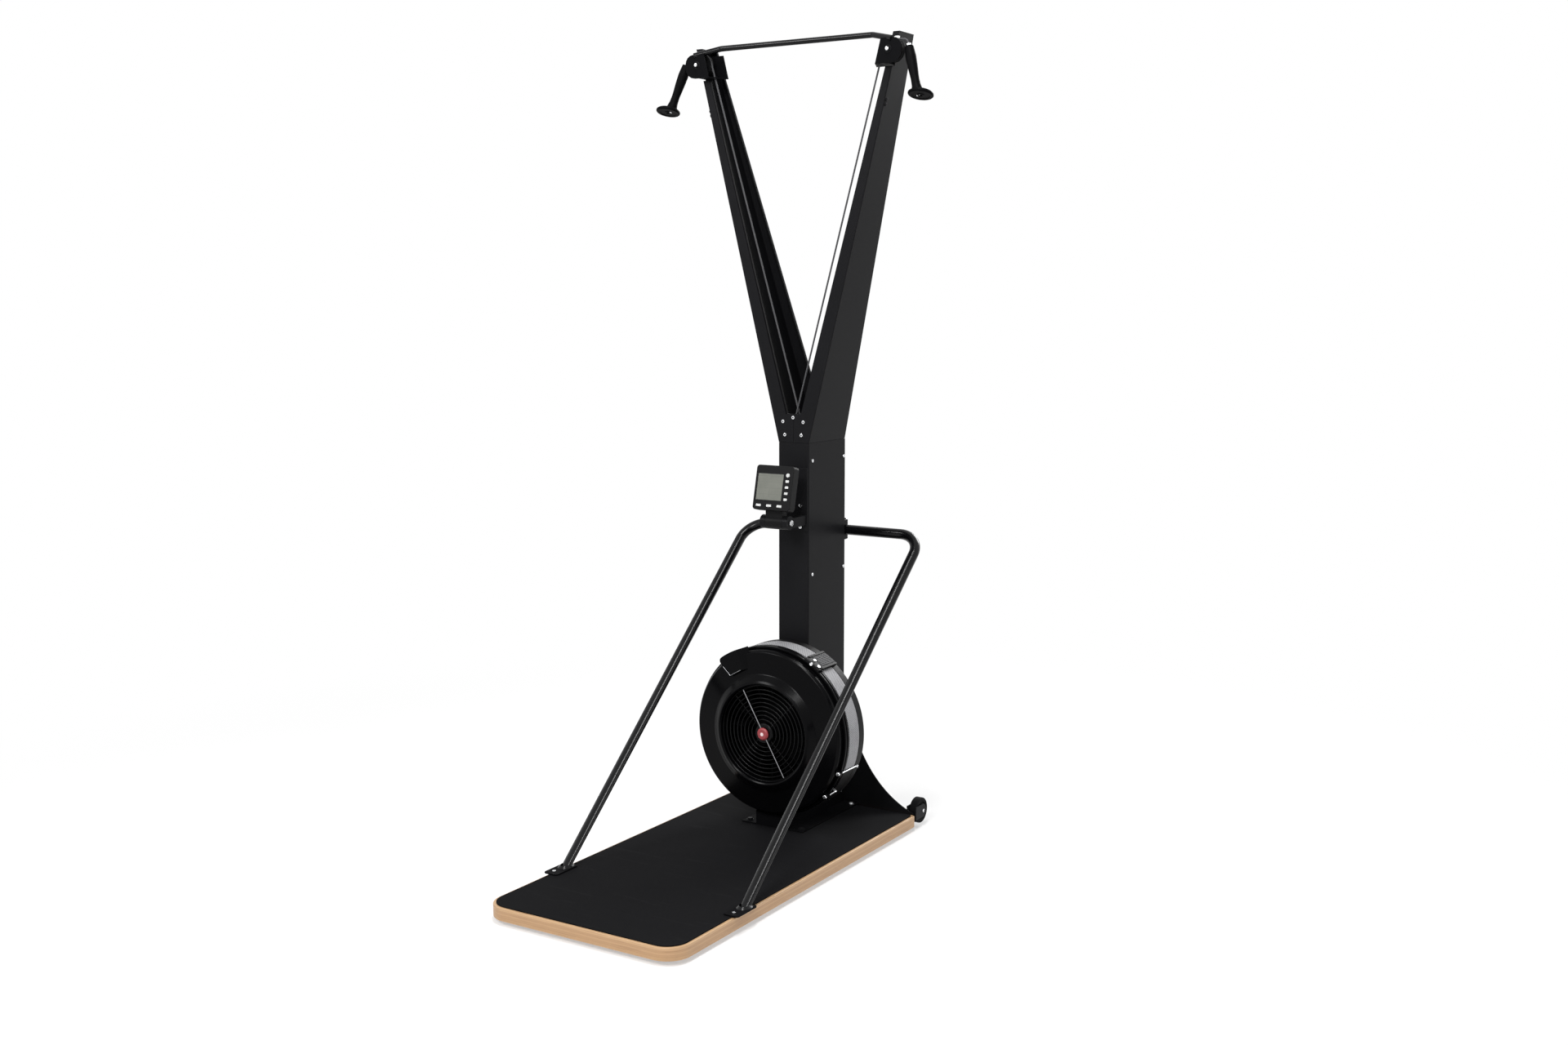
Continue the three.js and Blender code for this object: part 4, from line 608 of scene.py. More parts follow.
class Shape:
    """One mesh on the bench, shaped in edit mode from a primitive or from a copied solid."""

    def __init__(self, item: bpy.types.Object, name: str) -> None:
        """Keeps the object and names it."""
        self.item = item
        item.name = item.data.name = name

    @staticmethod
    def clear() -> None:
        """Leaves edit mode and deselects everything."""
        if bpy.context.object and bpy.context.object.mode != "OBJECT":
            bpy.ops.object.mode_set(mode="OBJECT")
        bpy.ops.object.select_all(action="DESELECT")

    @classmethod
    def added(cls, name: str, primitive: Callable[..., Any], **settings: Any) -> "Shape":
        """A primitive at its place, its place put into its mesh.

        Args:
            name: The object's name.
            primitive: The operator that adds it.
            settings: The operator's settings.

        Returns:
            The new shape.
        """
        cls.clear()
        primitive(**settings)
        bpy.ops.object.transform_apply(location=True, rotation=True, scale=True)
        return cls(bpy.context.object, name)

    @classmethod
    def linked(cls, name: str, data: bpy.types.ID) -> "Shape":
        """A new object on given data, alone selected.

        Args:
            name: The object's name.
            data: Its mesh or curve.

        Returns:
            The new shape.
        """
        shape = cls(bpy.data.objects.new(name, data), name)
        bpy.context.scene.collection.objects.link(shape.item)
        shape.hold()
        return shape

    @classmethod
    def block(cls, name: str, low: Vector, high: Vector) -> "Shape":
        """A block between two corners."""
        return cls.added(name, bpy.ops.mesh.primitive_cube_add, size=1.0, location=(low + high) / 2,
                         scale=high - low)

    @classmethod
    def rod(cls, name: str, start: Vector, end: Vector, radius: float, sides: int = 32) -> "Shape":
        """A round rod between two points, its radius in millimetres.

        Args:
            name: The object's name.
            start: The middle of one end.
            end: The middle of the other.
            radius: Its radius, in millimetres.
            sides: How many sides it has.

        Returns:
            The new shape.
        """
        way = end - start
        return cls.added(name, bpy.ops.mesh.primitive_cylinder_add, vertices=sides, radius=radius * MM,
                         depth=way.length, location=(start + end) / 2,
                         rotation=way.to_track_quat("Z", "Y").to_euler())

    @classmethod
    def traced(cls, name: str, points: Sequence[Vector], closed: bool = True) -> "Shape":
        """A line of vertices drawn from point to point.

        Args:
            name: The piece's name.
            points: The places, in metres.
            closed: Whether the line ends where it starts.

        Returns:
            The shape, in edit mode, with all of it selected.
        """
        shape = cls.added(name, bpy.ops.mesh.primitive_plane_add, size=MM, location=points[0])
        shape.edit()
        bpy.ops.mesh.merge(type="CENTER")
        for here, there in zip(points, points[1:]):
            shape.extrude(there - here)
        if closed:
            ends = (0, len(points) - 1)
            shape.select("VERT", lambda v: v.index in ends)
            bpy.ops.mesh.edge_face_add()
        bpy.ops.mesh.select_all(action="SELECT")
        return shape

    @classmethod
    def plate(cls, name: str, points: Sequence[Vector], depth: Vector) -> "Shape":
        """A flat outline, filled and given its thickness.

        Args:
            name: The object's name.
            points: The outline's corners.
            depth: The way and distance to the other face.

        Returns:
            The new shape.
        """
        shape = cls.traced(name, points)
        bpy.ops.mesh.edge_face_add()
        return shape.extrude(depth)

    @classmethod
    def turned(cls, name: str, profile: Profile, centre: Vector = HUB, axis: Vector = BACK,
               steps: int = 64) -> "Shape":
        """A full turn of a profile.

        Args:
            name: The piece's name.
            profile: Radius and distance along the axis, in millimetres. It is closed unless it starts
                and ends on the axis.
            centre: Where the distance along the axis is 0.
            axis: The axis' direction.
            steps: Segments round the axis.

        Returns:
            The shape.
        """
        out = axis.orthogonal().normalized()
        points = [centre + (out * radius + axis * along) * MM for radius, along in profile]
        shape = cls.traced(name, points, profile[0][0] > 0 or profile[-1][0] > 0)
        bpy.ops.mesh.spin(steps=steps, angle=math.tau, center=centre, axis=axis)
        return shape

    @classmethod
    def sector(cls, name: str, profile: Profile, start: float, end: float, steps: int) -> "Shape":
        """Part of a ring about the flywheel's axis.

        Args:
            name: The piece's name.
            profile: Closed profile of radius and y, in millimetres.
            start: First turn, in degrees from +x towards +z.
            end: Last turn.
            steps: Segments along it.

        Returns:
            The shape, closed at both ends.
        """
        shape = cls.traced(name, [around(radius, start, y) for radius, y in profile])
        bpy.ops.mesh.spin(steps=steps, angle=math.radians(end - start), center=HUB, axis=BACK)
        return shape.cap()

    @classmethod
    def bent_tube(cls, name: str, corners: Sequence[Vector], bend: float, radius: float, sides: int) -> "Shape":
        """A round tube through corners.

        Args:
            name: The piece's name.
            corners: Ends and corners of its middle line.
            bend: Radius of the bends, in millimetres.
            radius: The tube's radius, in millimetres.
            sides: Sides of the tube.

        Returns:
            The shape, closed at both ends.
        """
        turn = (corners[1] - corners[0]).to_track_quat("Z", "Y").to_euler()
        shape = cls.added(name, bpy.ops.mesh.primitive_circle_add, vertices=sides, radius=radius * MM,
                          location=corners[0], rotation=turn)
        shape.edit()
        here = corners[0]
        for before, corner, after in zip(corners, corners[1:], corners[2:]):
            inward, outward = (corner - before).normalized(), (after - corner).normalized()
            angle = inward.angle(outward)
            reach = bend * MM * math.tan(angle / 2)
            start = corner - inward * reach
            axis = inward.cross(outward).normalized()
            shape.extrude(start - here)
            bpy.ops.mesh.spin(steps=14, angle=-angle, center=start + axis.cross(inward) * bend * MM, axis=axis)
            here = corner + outward * reach
        return shape.extrude(corners[-1] - here).cap()

    @classmethod
    def copied(cls, name: str, node: str) -> "Shape":
        """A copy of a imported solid, its loose triangles merged and its flat faces made whole.

        Args:
            name: The object's name.
            node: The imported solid's name.

        Returns:
            The new shape.
        """
        shape = cls.linked(name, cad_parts[node].data.copy())
        shape.edit()
        bpy.ops.mesh.remove_doubles(threshold=2e-6)
        bpy.ops.mesh.dissolve_limited(angle_limit=math.radians(0.5))
        return shape

    def hold(self) -> None:
        """Selects this object alone, in object mode."""
        self.clear()
        self.item.select_set(True)
        bpy.context.view_layer.objects.active = self.item

    def edit(self) -> None:
        """Goes into edit mode on this mesh alone, with all of it selected."""
        if bpy.context.object is not self.item or self.item.mode != "EDIT":
            self.hold()
            bpy.ops.object.mode_set(mode="EDIT")
            bpy.ops.mesh.select_mode(type="VERT")
        bpy.ops.mesh.select_all(action="SELECT")

    def select(self, kind: str, test: Callable[[Any], bool]) -> "Shape":
        """Selects the vertices, edges or faces that pass a test, and nothing else.

        Args:
            kind: VERT, EDGE or FACE.
            test: Takes an element and says whether it is selected.

        Returns:
            The shape.
        """
        self.edit()
        bpy.ops.mesh.select_mode(type=kind)
        bpy.ops.mesh.select_all(action="DESELECT")
        mesh = bmesh.from_edit_mesh(self.item.data)
        for element in {"VERT": mesh.verts, "EDGE": mesh.edges, "FACE": mesh.faces}[kind]:
            if test(element):
                element.select_set(True)
        bmesh.update_edit_mesh(self.item.data)
        return self

    def extrude(self, way: Vector) -> "Shape":
        """Extrudes what is selected."""
        bpy.ops.mesh.extrude_region_move(TRANSFORM_OT_translate={"value": tuple(way)})
        return self

    def cap(self) -> "Shape":
        """Closes every open loop with a face.

        Returns:
            The shape itself.
        """
        self.select("EDGE", lambda e: e.is_boundary)
        bpy.ops.mesh.fill_holes(sides=0)
        return self

    def chamfer(self, width: float, test: Callable[[Any], bool]) -> None:
        """Rounds the rims of the faces that pass a test."""
        self.select("FACE", test)
        bpy.ops.mesh.bevel(offset=width * MM, segments=2, affect="EDGES")

    def bevel(self, width: float, segments: int = 2, shortest: float = 0.0, sharpest: float = 60.0,
              test: Callable[[Any], bool] = lambda edge: True) -> "Shape":
        """Rounds sharp edges.

        Args:
            width: Width of the rounding, in millimetres.
            segments: Segments across it.
            shortest: Length from which an edge is rounded, in millimetres.
            sharpest: Angle between the faces from which it is rounded, in degrees.
            test: Says whether an edge may be rounded.

        Returns:
            The shape.
        """
        self.select("EDGE", lambda e: e.is_manifold and e.calc_length() >= shortest * MM
                    and e.calc_face_angle(0.0) > math.radians(sharpest) and test(e))
        bpy.ops.mesh.bevel(offset=width * MM, segments=segments, affect="EDGES", clamp_overlap=True)
        return self

    def copy(self, name: str, matrix: Matrix) -> "Shape":
        """A copy with its own mesh, moved by a matrix."""
        self.clear()
        return Shape.linked(name, self.item.data.copy()).move(matrix)

    def move(self, matrix: Matrix) -> "Shape":
        """Moves the mesh by a matrix.

        Args:
            matrix: The move, turn and scale.

        Returns:
            The shape itself.
        """
        self.clear()
        self.item.data.transform(matrix)
        return self

    def join(self, *others: "Shape") -> "Shape":
        """Takes other shapes into this one.

        Args:
            others: The shapes that it takes in.

        Returns:
            The shape itself.
        """
        self.hold()
        for shape in others:
            shape.item.select_set(True)
        bpy.ops.object.join()
        return self

    def cut(self, *tools: "Shape") -> "Shape":
        """Cuts other shapes out of this one.

        Args:
            tools: The shapes that are cut out and removed.

        Returns:
            The shape itself.
        """
        for tool in tools:
            tool.tidy()
            self.tidy()
            modifier = self.item.modifiers.new("Cut", "BOOLEAN")
            modifier.operation, modifier.object, modifier.solver = "DIFFERENCE", tool.item, "EXACT"
            bpy.ops.object.modifier_apply(modifier=modifier.name)
            bpy.data.objects.remove(tool.item)
        return self

    def tidy(self, outward: bool = True) -> None:
        """Merges doubles, turns the faces outwards and leaves edit mode.

        Args:
            outward: False where the faces already have their sides.
        """
        self.edit()
        bpy.ops.mesh.remove_doubles(threshold=1e-5)
        if outward:
            bpy.ops.mesh.normals_make_consistent(inside=False)
        self.hold()

    def dress(self, finish: Finish, look: Look | None = None, smooth: float = 32.0,
              outward: bool = True) -> None:
        """Tidies a piece, shades it smooth up to an angle in degrees and gives it its finish and slot.

        Args:
            finish: The finish of its slot.
            look: The look that it wears, where it isn't the finish's own.
            smooth: The sharpest edge that is shaded smooth, in degrees.
            outward: False where the faces already have their sides.
        """
        self.tidy(outward)
        bpy.ops.object.shade_smooth_by_angle(angle=math.radians(smooth))
        self.item.data.materials.clear()
        self.item.data.materials.append(paints()[look or finish])
        LOG.info("%s: %s", self.item.name, finish.value)

    def finish(self, finish: Finish, *replaces: str, body: str = "frame", **dressing: Any) -> "Shape":
        """Ends the work on a piece.

        Args:
            finish: Its finish.
            replaces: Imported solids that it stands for.
            body: The body that it moves with.
            dressing: What else dress takes.

        Returns:
            The shape.
        """
        self.dress(finish, **dressing)
        even = self.item.modifiers.new("Even", "WEIGHTED_NORMAL")
        even.keep_sharp = True
        bpy.ops.object.modifier_apply(modifier=even.name)
        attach(self.item, body)
        if replaces:
            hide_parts(*replaces)
        return self

    def patch(self, look: Look, test: Callable[[Any], bool]) -> None:
        """Gives the faces that pass a test another look.

        Args:
            look: The look of those faces.
            test: Whether a face gets it.
        """
        self.item.data.materials.append(paints()[look])
        for face in self.item.data.polygons:
            face.material_index = int(test(face))


class Fastener(Enum):
    """Kinds of screw head: radius, height, sides and socket radius, in millimetres."""

    HEX = (8.2, 5.4, 6, 0.0)
    PAN = (5.0, 3.0, 24, 2.2)
    SOCKET = (5.2, 3.2, 24, 2.6)

    def model(self) -> Shape:
        """One head on the origin, pointing along +z, with its washer.

        Returns:
            The head, to be copied.
        """
        radius, height, sides, socket = self.value
        head = Shape.rod("head", Vector(), UP * height * MM, radius, sides)
        head.chamfer(radius * 0.16, lambda f: f.normal.z > 0.9)
        head.select("FACE", lambda f: f.normal.z > 0.99 and len(f.verts) > 5)
        if socket:
            bpy.ops.mesh.inset(thickness=(radius * 0.84 - socket) * MM)
            return head.extrude(UP * -height * 0.55 * MM)
        bpy.ops.mesh.inset(thickness=radius * 0.3 * MM, depth=-0.25 * MM)
        washer = Shape.rod("washer", Vector(), UP * 1.2 * MM, radius * 1.28)
        washer.chamfer(0.4, lambda f: f.normal.z > 0.9)
        return head.join(washer)

    def rack(self, name: str, places: Places, finish: Finish = Finish.ZINC, body: str = "frame") -> None:
        """Copies the head to every place of a group.

        Args:
            name: The group's name.
            places: Where each head sits, and the way that it points.
            finish: The heads' finish.
            body: The body that the group moves with.
        """
        model = self.model()
        first, *others = [model.copy(name, Matrix.LocRotScale(place, way.to_track_quat("Z", "Y"), None))
                          for place, way in places]
        bpy.data.objects.remove(model.item)
        first.join(*others).finish(finish, body=body)


@dataclass
class Deck:
    """The wooden board, its rubber mat and its feet."""

    width: float = 600.0
    length: float = 1231.0
    underside: float = 13.0
    wood_top: float = 47.0
    front_corner: float = 65.0
    rear_corner: float = 12.0
    mat_inset: float = 8.0
    foot_radius: float = 24.0
    foot_inset: float = 62.0

    def sheet(self, name: str, inset: float, low: float, high: float) -> Shape:
        """A sheet in the board's outline, drawn in by an inset, between two heights.

        Args:
            name: The object's name.
            inset: How far it is drawn in.
            low: The height of its underside.
            high: The height of its top.

        Returns:
            The new shape.
        """
        half, front, rear = self.width / 2 - inset, self.front_corner - inset, self.rear_corner
        corners = [(-half, inset, front), (half, inset, front),
                   (half, self.length - inset, rear), (-half, self.length - inset, rear)]
        return Shape.plate(name, [at(x, y, low) for x, y in rounded(corners, 12)], mm(0, 0, high - low))

    def build(self) -> None:
        """Builds the deck."""
        board = self.sheet("board", 0, self.underside, self.wood_top)
        board.bevel(2.4, 3).finish(Finish.OAK_EDGE, "deck_board")
        mat = self.sheet("mat", self.mat_inset, self.wood_top, DECK_TOP)
        mat.bevel(0.9).finish(Finish.DECK_RUBBER, "deck_mat")
        radius, top = self.foot_radius, self.underside
        profile = rounded([(0, 0), (radius - 2.5, 0, 2.5), (radius, top, 1), (0, top)])
        for row, y in (("front", self.foot_inset), ("rear", self.length - self.foot_inset)):
            for side in Side:
                x = side.value * (self.width / 2 - self.foot_inset)
                foot = Shape.turned(f"{row}_{side.word}_pad", profile, at(x, y, 0), UP, 48)
                foot.finish(Finish.FOOT_RUBBER, f"{row}_{side.word}_foot")


@dataclass
class Column:
    """The folded column with its rear cover and side screws."""

    wall: float = 3.0
    fold: float = 4.5
    seam: float = 2.0
    foot: float = 54.0
    top: float = 1160.3
    shaft_room: float = 11.2
    lip: float = 24.0
    screw_rows: tuple[float, ...] = (1109.5, 779.0)
    screw_columns: tuple[float, ...] = (1042.6, 1223.1)

    def build(self) -> None:
        """Builds the column."""
        half, inner, rear = COLUMN_HALF, COLUMN_HALF - self.wall, COLUMN_REAR - self.seam
        front, low, high = COLUMN_FRONT + self.wall, self.foot, self.top
        outline = rounded([
            (-half, rear), (-half, COLUMN_FRONT, self.fold), (half, COLUMN_FRONT, self.fold), (half, rear),
            (inner, rear), (inner, front, 1.5), (-inner, front, 1.5), (-inner, rear)], 5)
        shell = Shape.plate("column", [at(x, y, low) for x, y in outline], mm(0, 0, high - low))
        shell.cut(Shape.rod("shaft_hole", around(0, 0, COLUMN_FRONT - 5), around(0, 0, front + 5),
                            self.shaft_room))
        shell.finish(Finish.BLACK_COAT, "column_shell")
        cover = Shape.block("column_cover", at(-half, rear, low), at(half, COLUMN_REAR, high)).bevel(0.8)
        edge = inner - 0.3
        cover.join(*(Shape.block("lip", at(x, rear - self.lip, low), at(x + 2, rear + 1, high))
                     for x in (-edge, edge - 2)))
        cover.finish(Finish.BLACK_COAT, "column_rear_cover")
        Fastener.PAN.rack("column_screws", mirrored((at(half, y, z), RIGHT) for y in self.screw_columns
                                                    for z in self.screw_rows))


@dataclass
class Arms:
    """Both arms of the V, and the screws of their joint."""

    fold: float = 3.2
    sheet: float = 6.0
    edge: float = 0.9
    screws: Profile = ((0.0, 1233.0), (34.0, 1221.0), (-34.0, 1221.0), (27.5, 1183.0), (-27.5, 1183.0))
    cord_screws: Profile = ((287.2, 1034.0, 2107.0), (284.2, 1034.0, 2094.5))

    def folded(self, edge: bmesh.types.BMEdge) -> bool:
        """Whether an edge is a fold of the sheet and not its rim."""
        return all(face.calc_area() > self.sheet * MM * edge.calc_length() for face in edge.link_faces)

    def build(self) -> None:
        """Builds the arms."""
        for side in Side:
            arm = Shape.copied(f"{side.word}_arm_sheet", f"{side.word}_arm")
            arm.bevel(self.fold, 4, shortest=300, sharpest=30, test=self.folded)
            arm.bevel(self.edge, shortest=9, sharpest=30)
            arm.finish(Finish.BLACK_COAT, f"{side.word}_arm", outward=False)
            # Painted shade: the faces that look inwards, towards the other arm, get the darker, duller coat.
            arm.patch(Look.BASE, lambda face: face.normal.x * side.value < -0.5)
        Fastener.PAN.rack("arm_joint_screws", [(at(x, COLUMN_FRONT - 0.3, z), -BACK) for x, z in self.screws])
        Fastener.SOCKET.rack("cord_screws", mirrored((at(*place), Vector((0.97, 0, -0.24)))
                                                     for place in self.cord_screws), Finish.BLACK_COAT)


@dataclass
class Stay:
    """The tube from foot to foot behind the column, with its foot plates and clamp."""

    radius: float = 15.0
    foot_x: float = 288.0
    foot_y: float = 318.0
    corner_x: float = 300.0
    corner_y: float = 1251.1
    height: float = 885.0
    bend: float = 70.0
    plate: float = 4.0
    plate_front: float = 252.0
    plate_rear: float = 345.0
    plate_half: float = 23.0
    plate_corner: float = 9.0
    bolt: float = 270.0
    clamp_bolt: tuple[float, float] = (30.0, 22.5)
    clamp_front: float = 1233.4
    clamp_face: float = 1268.6
    clamp_half: tuple[float, float] = (42.0, 30.0)

    def foot(self, x: float) -> list[Shape]:
        """A foot plate and the weld round the tube's end on it.

        Args:
            x: The tube's place across the machine.

        Returns:
            The plate and the weld.
        """
        low, high, corner = x - self.plate_half, x + self.plate_half, self.plate_corner
        outline = rounded([(u, v, corner) for u, v in ((low, self.plate_front), (high, self.plate_front),
                                                       (high, self.plate_rear), (low, self.plate_rear))], 8)
        plate = Shape.plate("foot_plate", [at(u, v, DECK_TOP) for u, v in outline], mm(0, 0, self.plate))
        inner, middle = (self.radius - 2, 0), at(x, self.foot_y + 1.5, 0)
        profile = [inner, (self.radius + 4.5, 0), (self.radius - 2, 6), inner]
        weld = Shape.turned("weld", profile, mm(0, 0, DECK_TOP + self.plate - 0.3), UP, 40)
        return [plate.bevel(0.9), weld.move(Matrix.LocRotScale(middle, None, Vector((1, 1.38, 1))))]

    def build(self) -> None:
        """Builds the stay."""
        y, z, top = self.corner_y, self.height, DECK_TOP + self.plate
        left, right = (at(x, self.foot_y, DECK_TOP + 1) for x in (-self.foot_x, self.foot_x))
        route = [left, at(-self.corner_x, y, z), at(self.corner_x, y, z), right]
        tube = Shape.bent_tube("stay_tube", route, self.bend, self.radius, 40)
        for end in (left, right):
            tube.select("VERT", lambda v: (v.co - end).length < self.radius * 2.2 * MM and v.co.z < 0.08)
            bpy.ops.transform.resize(value=(1, 1, 0), center_override=end)
        tube.join(*self.foot(-self.foot_x), *self.foot(self.foot_x))
        tube.finish(Finish.BLACK_COAT, "stay_frame", look=Look.TUBE)
        tube.patch(Look.BASE, lambda face: face.center.z < (top + 0.1) * MM)
        Fastener.PAN.rack("stay_bolts", mirrored([(at(self.foot_x, self.bolt, top), UP)]))
        half, reach = self.clamp_half
        clamp = Shape.block("stay_saddle", at(-half, self.clamp_front, z - reach),
                            at(half, self.clamp_face, z + reach))
        clamp.bevel(2.5, 3)
        clamp.cut(Shape.rod("bore", at(-2 * half, y, z), at(2 * half, y, z), self.radius + 0.3, 64))
        clamp.finish(Finish.BLACK_COAT, "stay_clamp")
        x, reach = self.clamp_bolt
        Fastener.HEX.rack("clamp_bolts", mirrored((at(x, self.clamp_face, z + v * reach), BACK)
                                                  for v in (-1, 1)))


@dataclass
class Rear:
    """The base bracket, the gusset behind the deck, and the transport wheels."""

    base_top: float = 54.0
    base_bolt: float = 88.0
    base_rows: tuple[tuple[str, float, Finish], ...] = (
        ("front_base_bolts", 925.0, Finish.BLACK_COAT), ("rear_base_bolts", 1215.1, Finish.ZINC))
    cheek: float = 55.0
    cheek_screws: tuple[float, ...] = (1006.0, 1213.1)
    cheek_height: float = 88.0
    gusset_front: float = 1233.1
    gusset_face: float = 1237.1
    gusset_foot: float = 13.0
    flank: Profile = ((50.7, 400.0), (105.0, 120.0), (290.0, 50.0))
    fork: Triple = (20.0, 3.0, 13.0)
    gusset_screws: Profile = ((30.4, 169.3), (30.4, 284.7))
    wheel: Triple = (283.0, 1279.0, 50.0)
    wheel_radius: float = 38.0
    wheel_half: float = 12.0
    wheel_bolt: float = 16.0

    def gusset(self) -> None:
        """The flared plate behind the column, with the forks that hold the wheels."""
        top, pull, end = (Vector(place) for place in self.flank)
        half = [top.lerp(pull, i / 28).lerp(pull.lerp(end, i / 28), i / 28) for i in range(29)]
        half.append(Vector((end.x, self.gusset_foot)))
        outline = half + [Vector((-x, z)) for x, z in reversed(half)]
        plate = Shape.plate("gusset", [at(x, self.gusset_front, z) for x, z in outline],
                            mm(0, self.gusset_face - self.gusset_front, 0)).bevel(0.9)
        reach, thick, room = self.fork
        wheel_x, y, z = self.wheel
        start = self.gusset_face - 2
        profile = rounded([(start, z - reach), (y + reach, z - reach, reach), (y + reach, z + reach, reach),
                           (start, z + reach)], 16)
        forks = []
        for x in (-wheel_x, wheel_x):
            forks += [Shape.plate("fork", [at(inner, v, w) for v, w in profile], mm(thick, 0, 0)).bevel(0.5)
                      for inner in (x - room - thick, x + room)]
            forks.append(Shape.rod("axle", at(x - room - 5, y, z), at(x + room + 5, y, z), 5.0))
        plate.join(*forks).finish(Finish.BLACK_COAT, "rear_gusset")

    def build(self) -> None:
        """Builds the rear."""
        foot = Shape.copied("base_foot", "base_bracket").bevel(0.5, shortest=9, sharpest=30)
        foot.finish(Finish.BLACK_COAT, "base_bracket", outward=False, look=Look.BASE)
        self.gusset()
        for name, y, finish in self.base_rows:
            Fastener.HEX.rack(name, mirrored([(at(self.base_bolt, y, self.base_top), UP)]), finish)
        screws = [(at(self.cheek, y, self.cheek_height), RIGHT) for y in self.cheek_screws]
        screws += [(at(x, self.gusset_face, z), BACK) for x, z in self.gusset_screws]
        Fastener.PAN.rack("base_screws", mirrored(screws))
        r, h = self.wheel_radius, self.wheel_half
        profile = rounded([
            (5.4, 2 - h), (15, 2 - h, 1), (17, 4 - h, 1), (25, 4 - h, 1), (27, -h, 1), (r, -h, 3.5),
            (r, h, 3.5), (27, h, 1), (25, h - 4, 1), (17, h - 4, 1), (15, h - 2, 1), (5.4, h - 2)], 5)
        x, y, z = self.wheel
        for side in Side:
            roller = Shape.turned(f"{side.word}_roller", profile, at(side.value * x, y, z), RIGHT, 72)
            roller.finish(Finish.FOOT_RUBBER, f"{side.word}_wheel", body=f"{side.word}_wheel_body")
        Fastener.SOCKET.rack("wheel_bolts", mirrored((at(x + end * self.wheel_bolt, y, z), RIGHT * end)
                                                     for end in (-1, 1)))


@dataclass
class PulleyHeads:
    """The pulley housings at the tips of the arms, their pulleys and the crossbar."""

    bar: Profile = ((-322, 1000, 2262), (-247, 1029, 2280), (247, 1029, 2280), (322, 1000, 2262))
    bar_radius: float = 8.0
    bar_bend: float = 26.0
    top_wheel: tuple[float, ...] = (27.8, 33.5, 6.5, 5.3)
    guide_wheel: tuple[float, ...] = (19.2, 24.5, 5.0, 3.3)
    axle_face: float = 998.0

    def pulley(self, name: str, centre: Vector, groove: float, flange: float, half: float,
               bore: float) -> Shape:
        """A grooved pulley about a line along y.

        Args:
            name: The piece's name.
            centre: Its middle.
            groove: Radius of the groove's floor, in millimetres.
            flange: Radius of the flanges.
            half: Half of the width.
            bore: Radius of the bore.

        Returns:
            The shape.
        """
        face = [(bore, half, 0.3), (bore + 7, half, 0.4), (bore + 8, half - 1.5, 0.4),
                (flange - 4, half - 1.5, 0.4), (flange - 3, half, 0.4), (flange, half, 0.4),
                (flange, half - 1.2, 0.4), (groove, 1.6, 1.2)]
        profile = rounded([(u, -v, r) for u, v, r in face] + face[::-1], 3)
        return Shape.turned(name, profile, centre)

    def build(self) -> None:
        """Builds both heads."""
        route = [at(*place) for place in self.bar]
        bar = Shape.bent_tube("crossbar", route, self.bar_bend, self.bar_radius, 32)
        bar.finish(Finish.BLACK_COAT, "top_crossbar", look=Look.TUBE)
        x, y, z = TOP_PULLEY
        for side, guide_y in zip(Side, GUIDE_Y):
            word, sign = side.word, side.value
            housing = Shape.copied(f"{word}_pulley_box", f"{word}_pulley_housing")
            housing.bevel(0.9, shortest=7, sharpest=30)
            housing.finish(Finish.BLACK_COAT, f"{word}_pulley_housing", outward=False, look=Look.BASE)
            for kind, place, sizes in (("top", at(sign * x, y, z), self.top_wheel),
                                       ("guide", at(sign * GUIDE_X, guide_y, GUIDE_Z), self.guide_wheel)):
                wheel = self.pulley(f"{word}_{kind}_wheel", place, *sizes)
                wheel.finish(Finish.MATTE_PLASTIC, f"{word}_{kind}_pulley", body=f"{word}_{kind}_pulley_body")
            face = at(sign * x, self.axle_face, z)
            Fastener.HEX.rack(f"{word}_axle_head", [(face, -BACK)], Finish.BLACK_COAT)
            Fastener.PAN.rack(f"{word}_axle_end", [(face - BACK * 4.9 * MM, -BACK)])


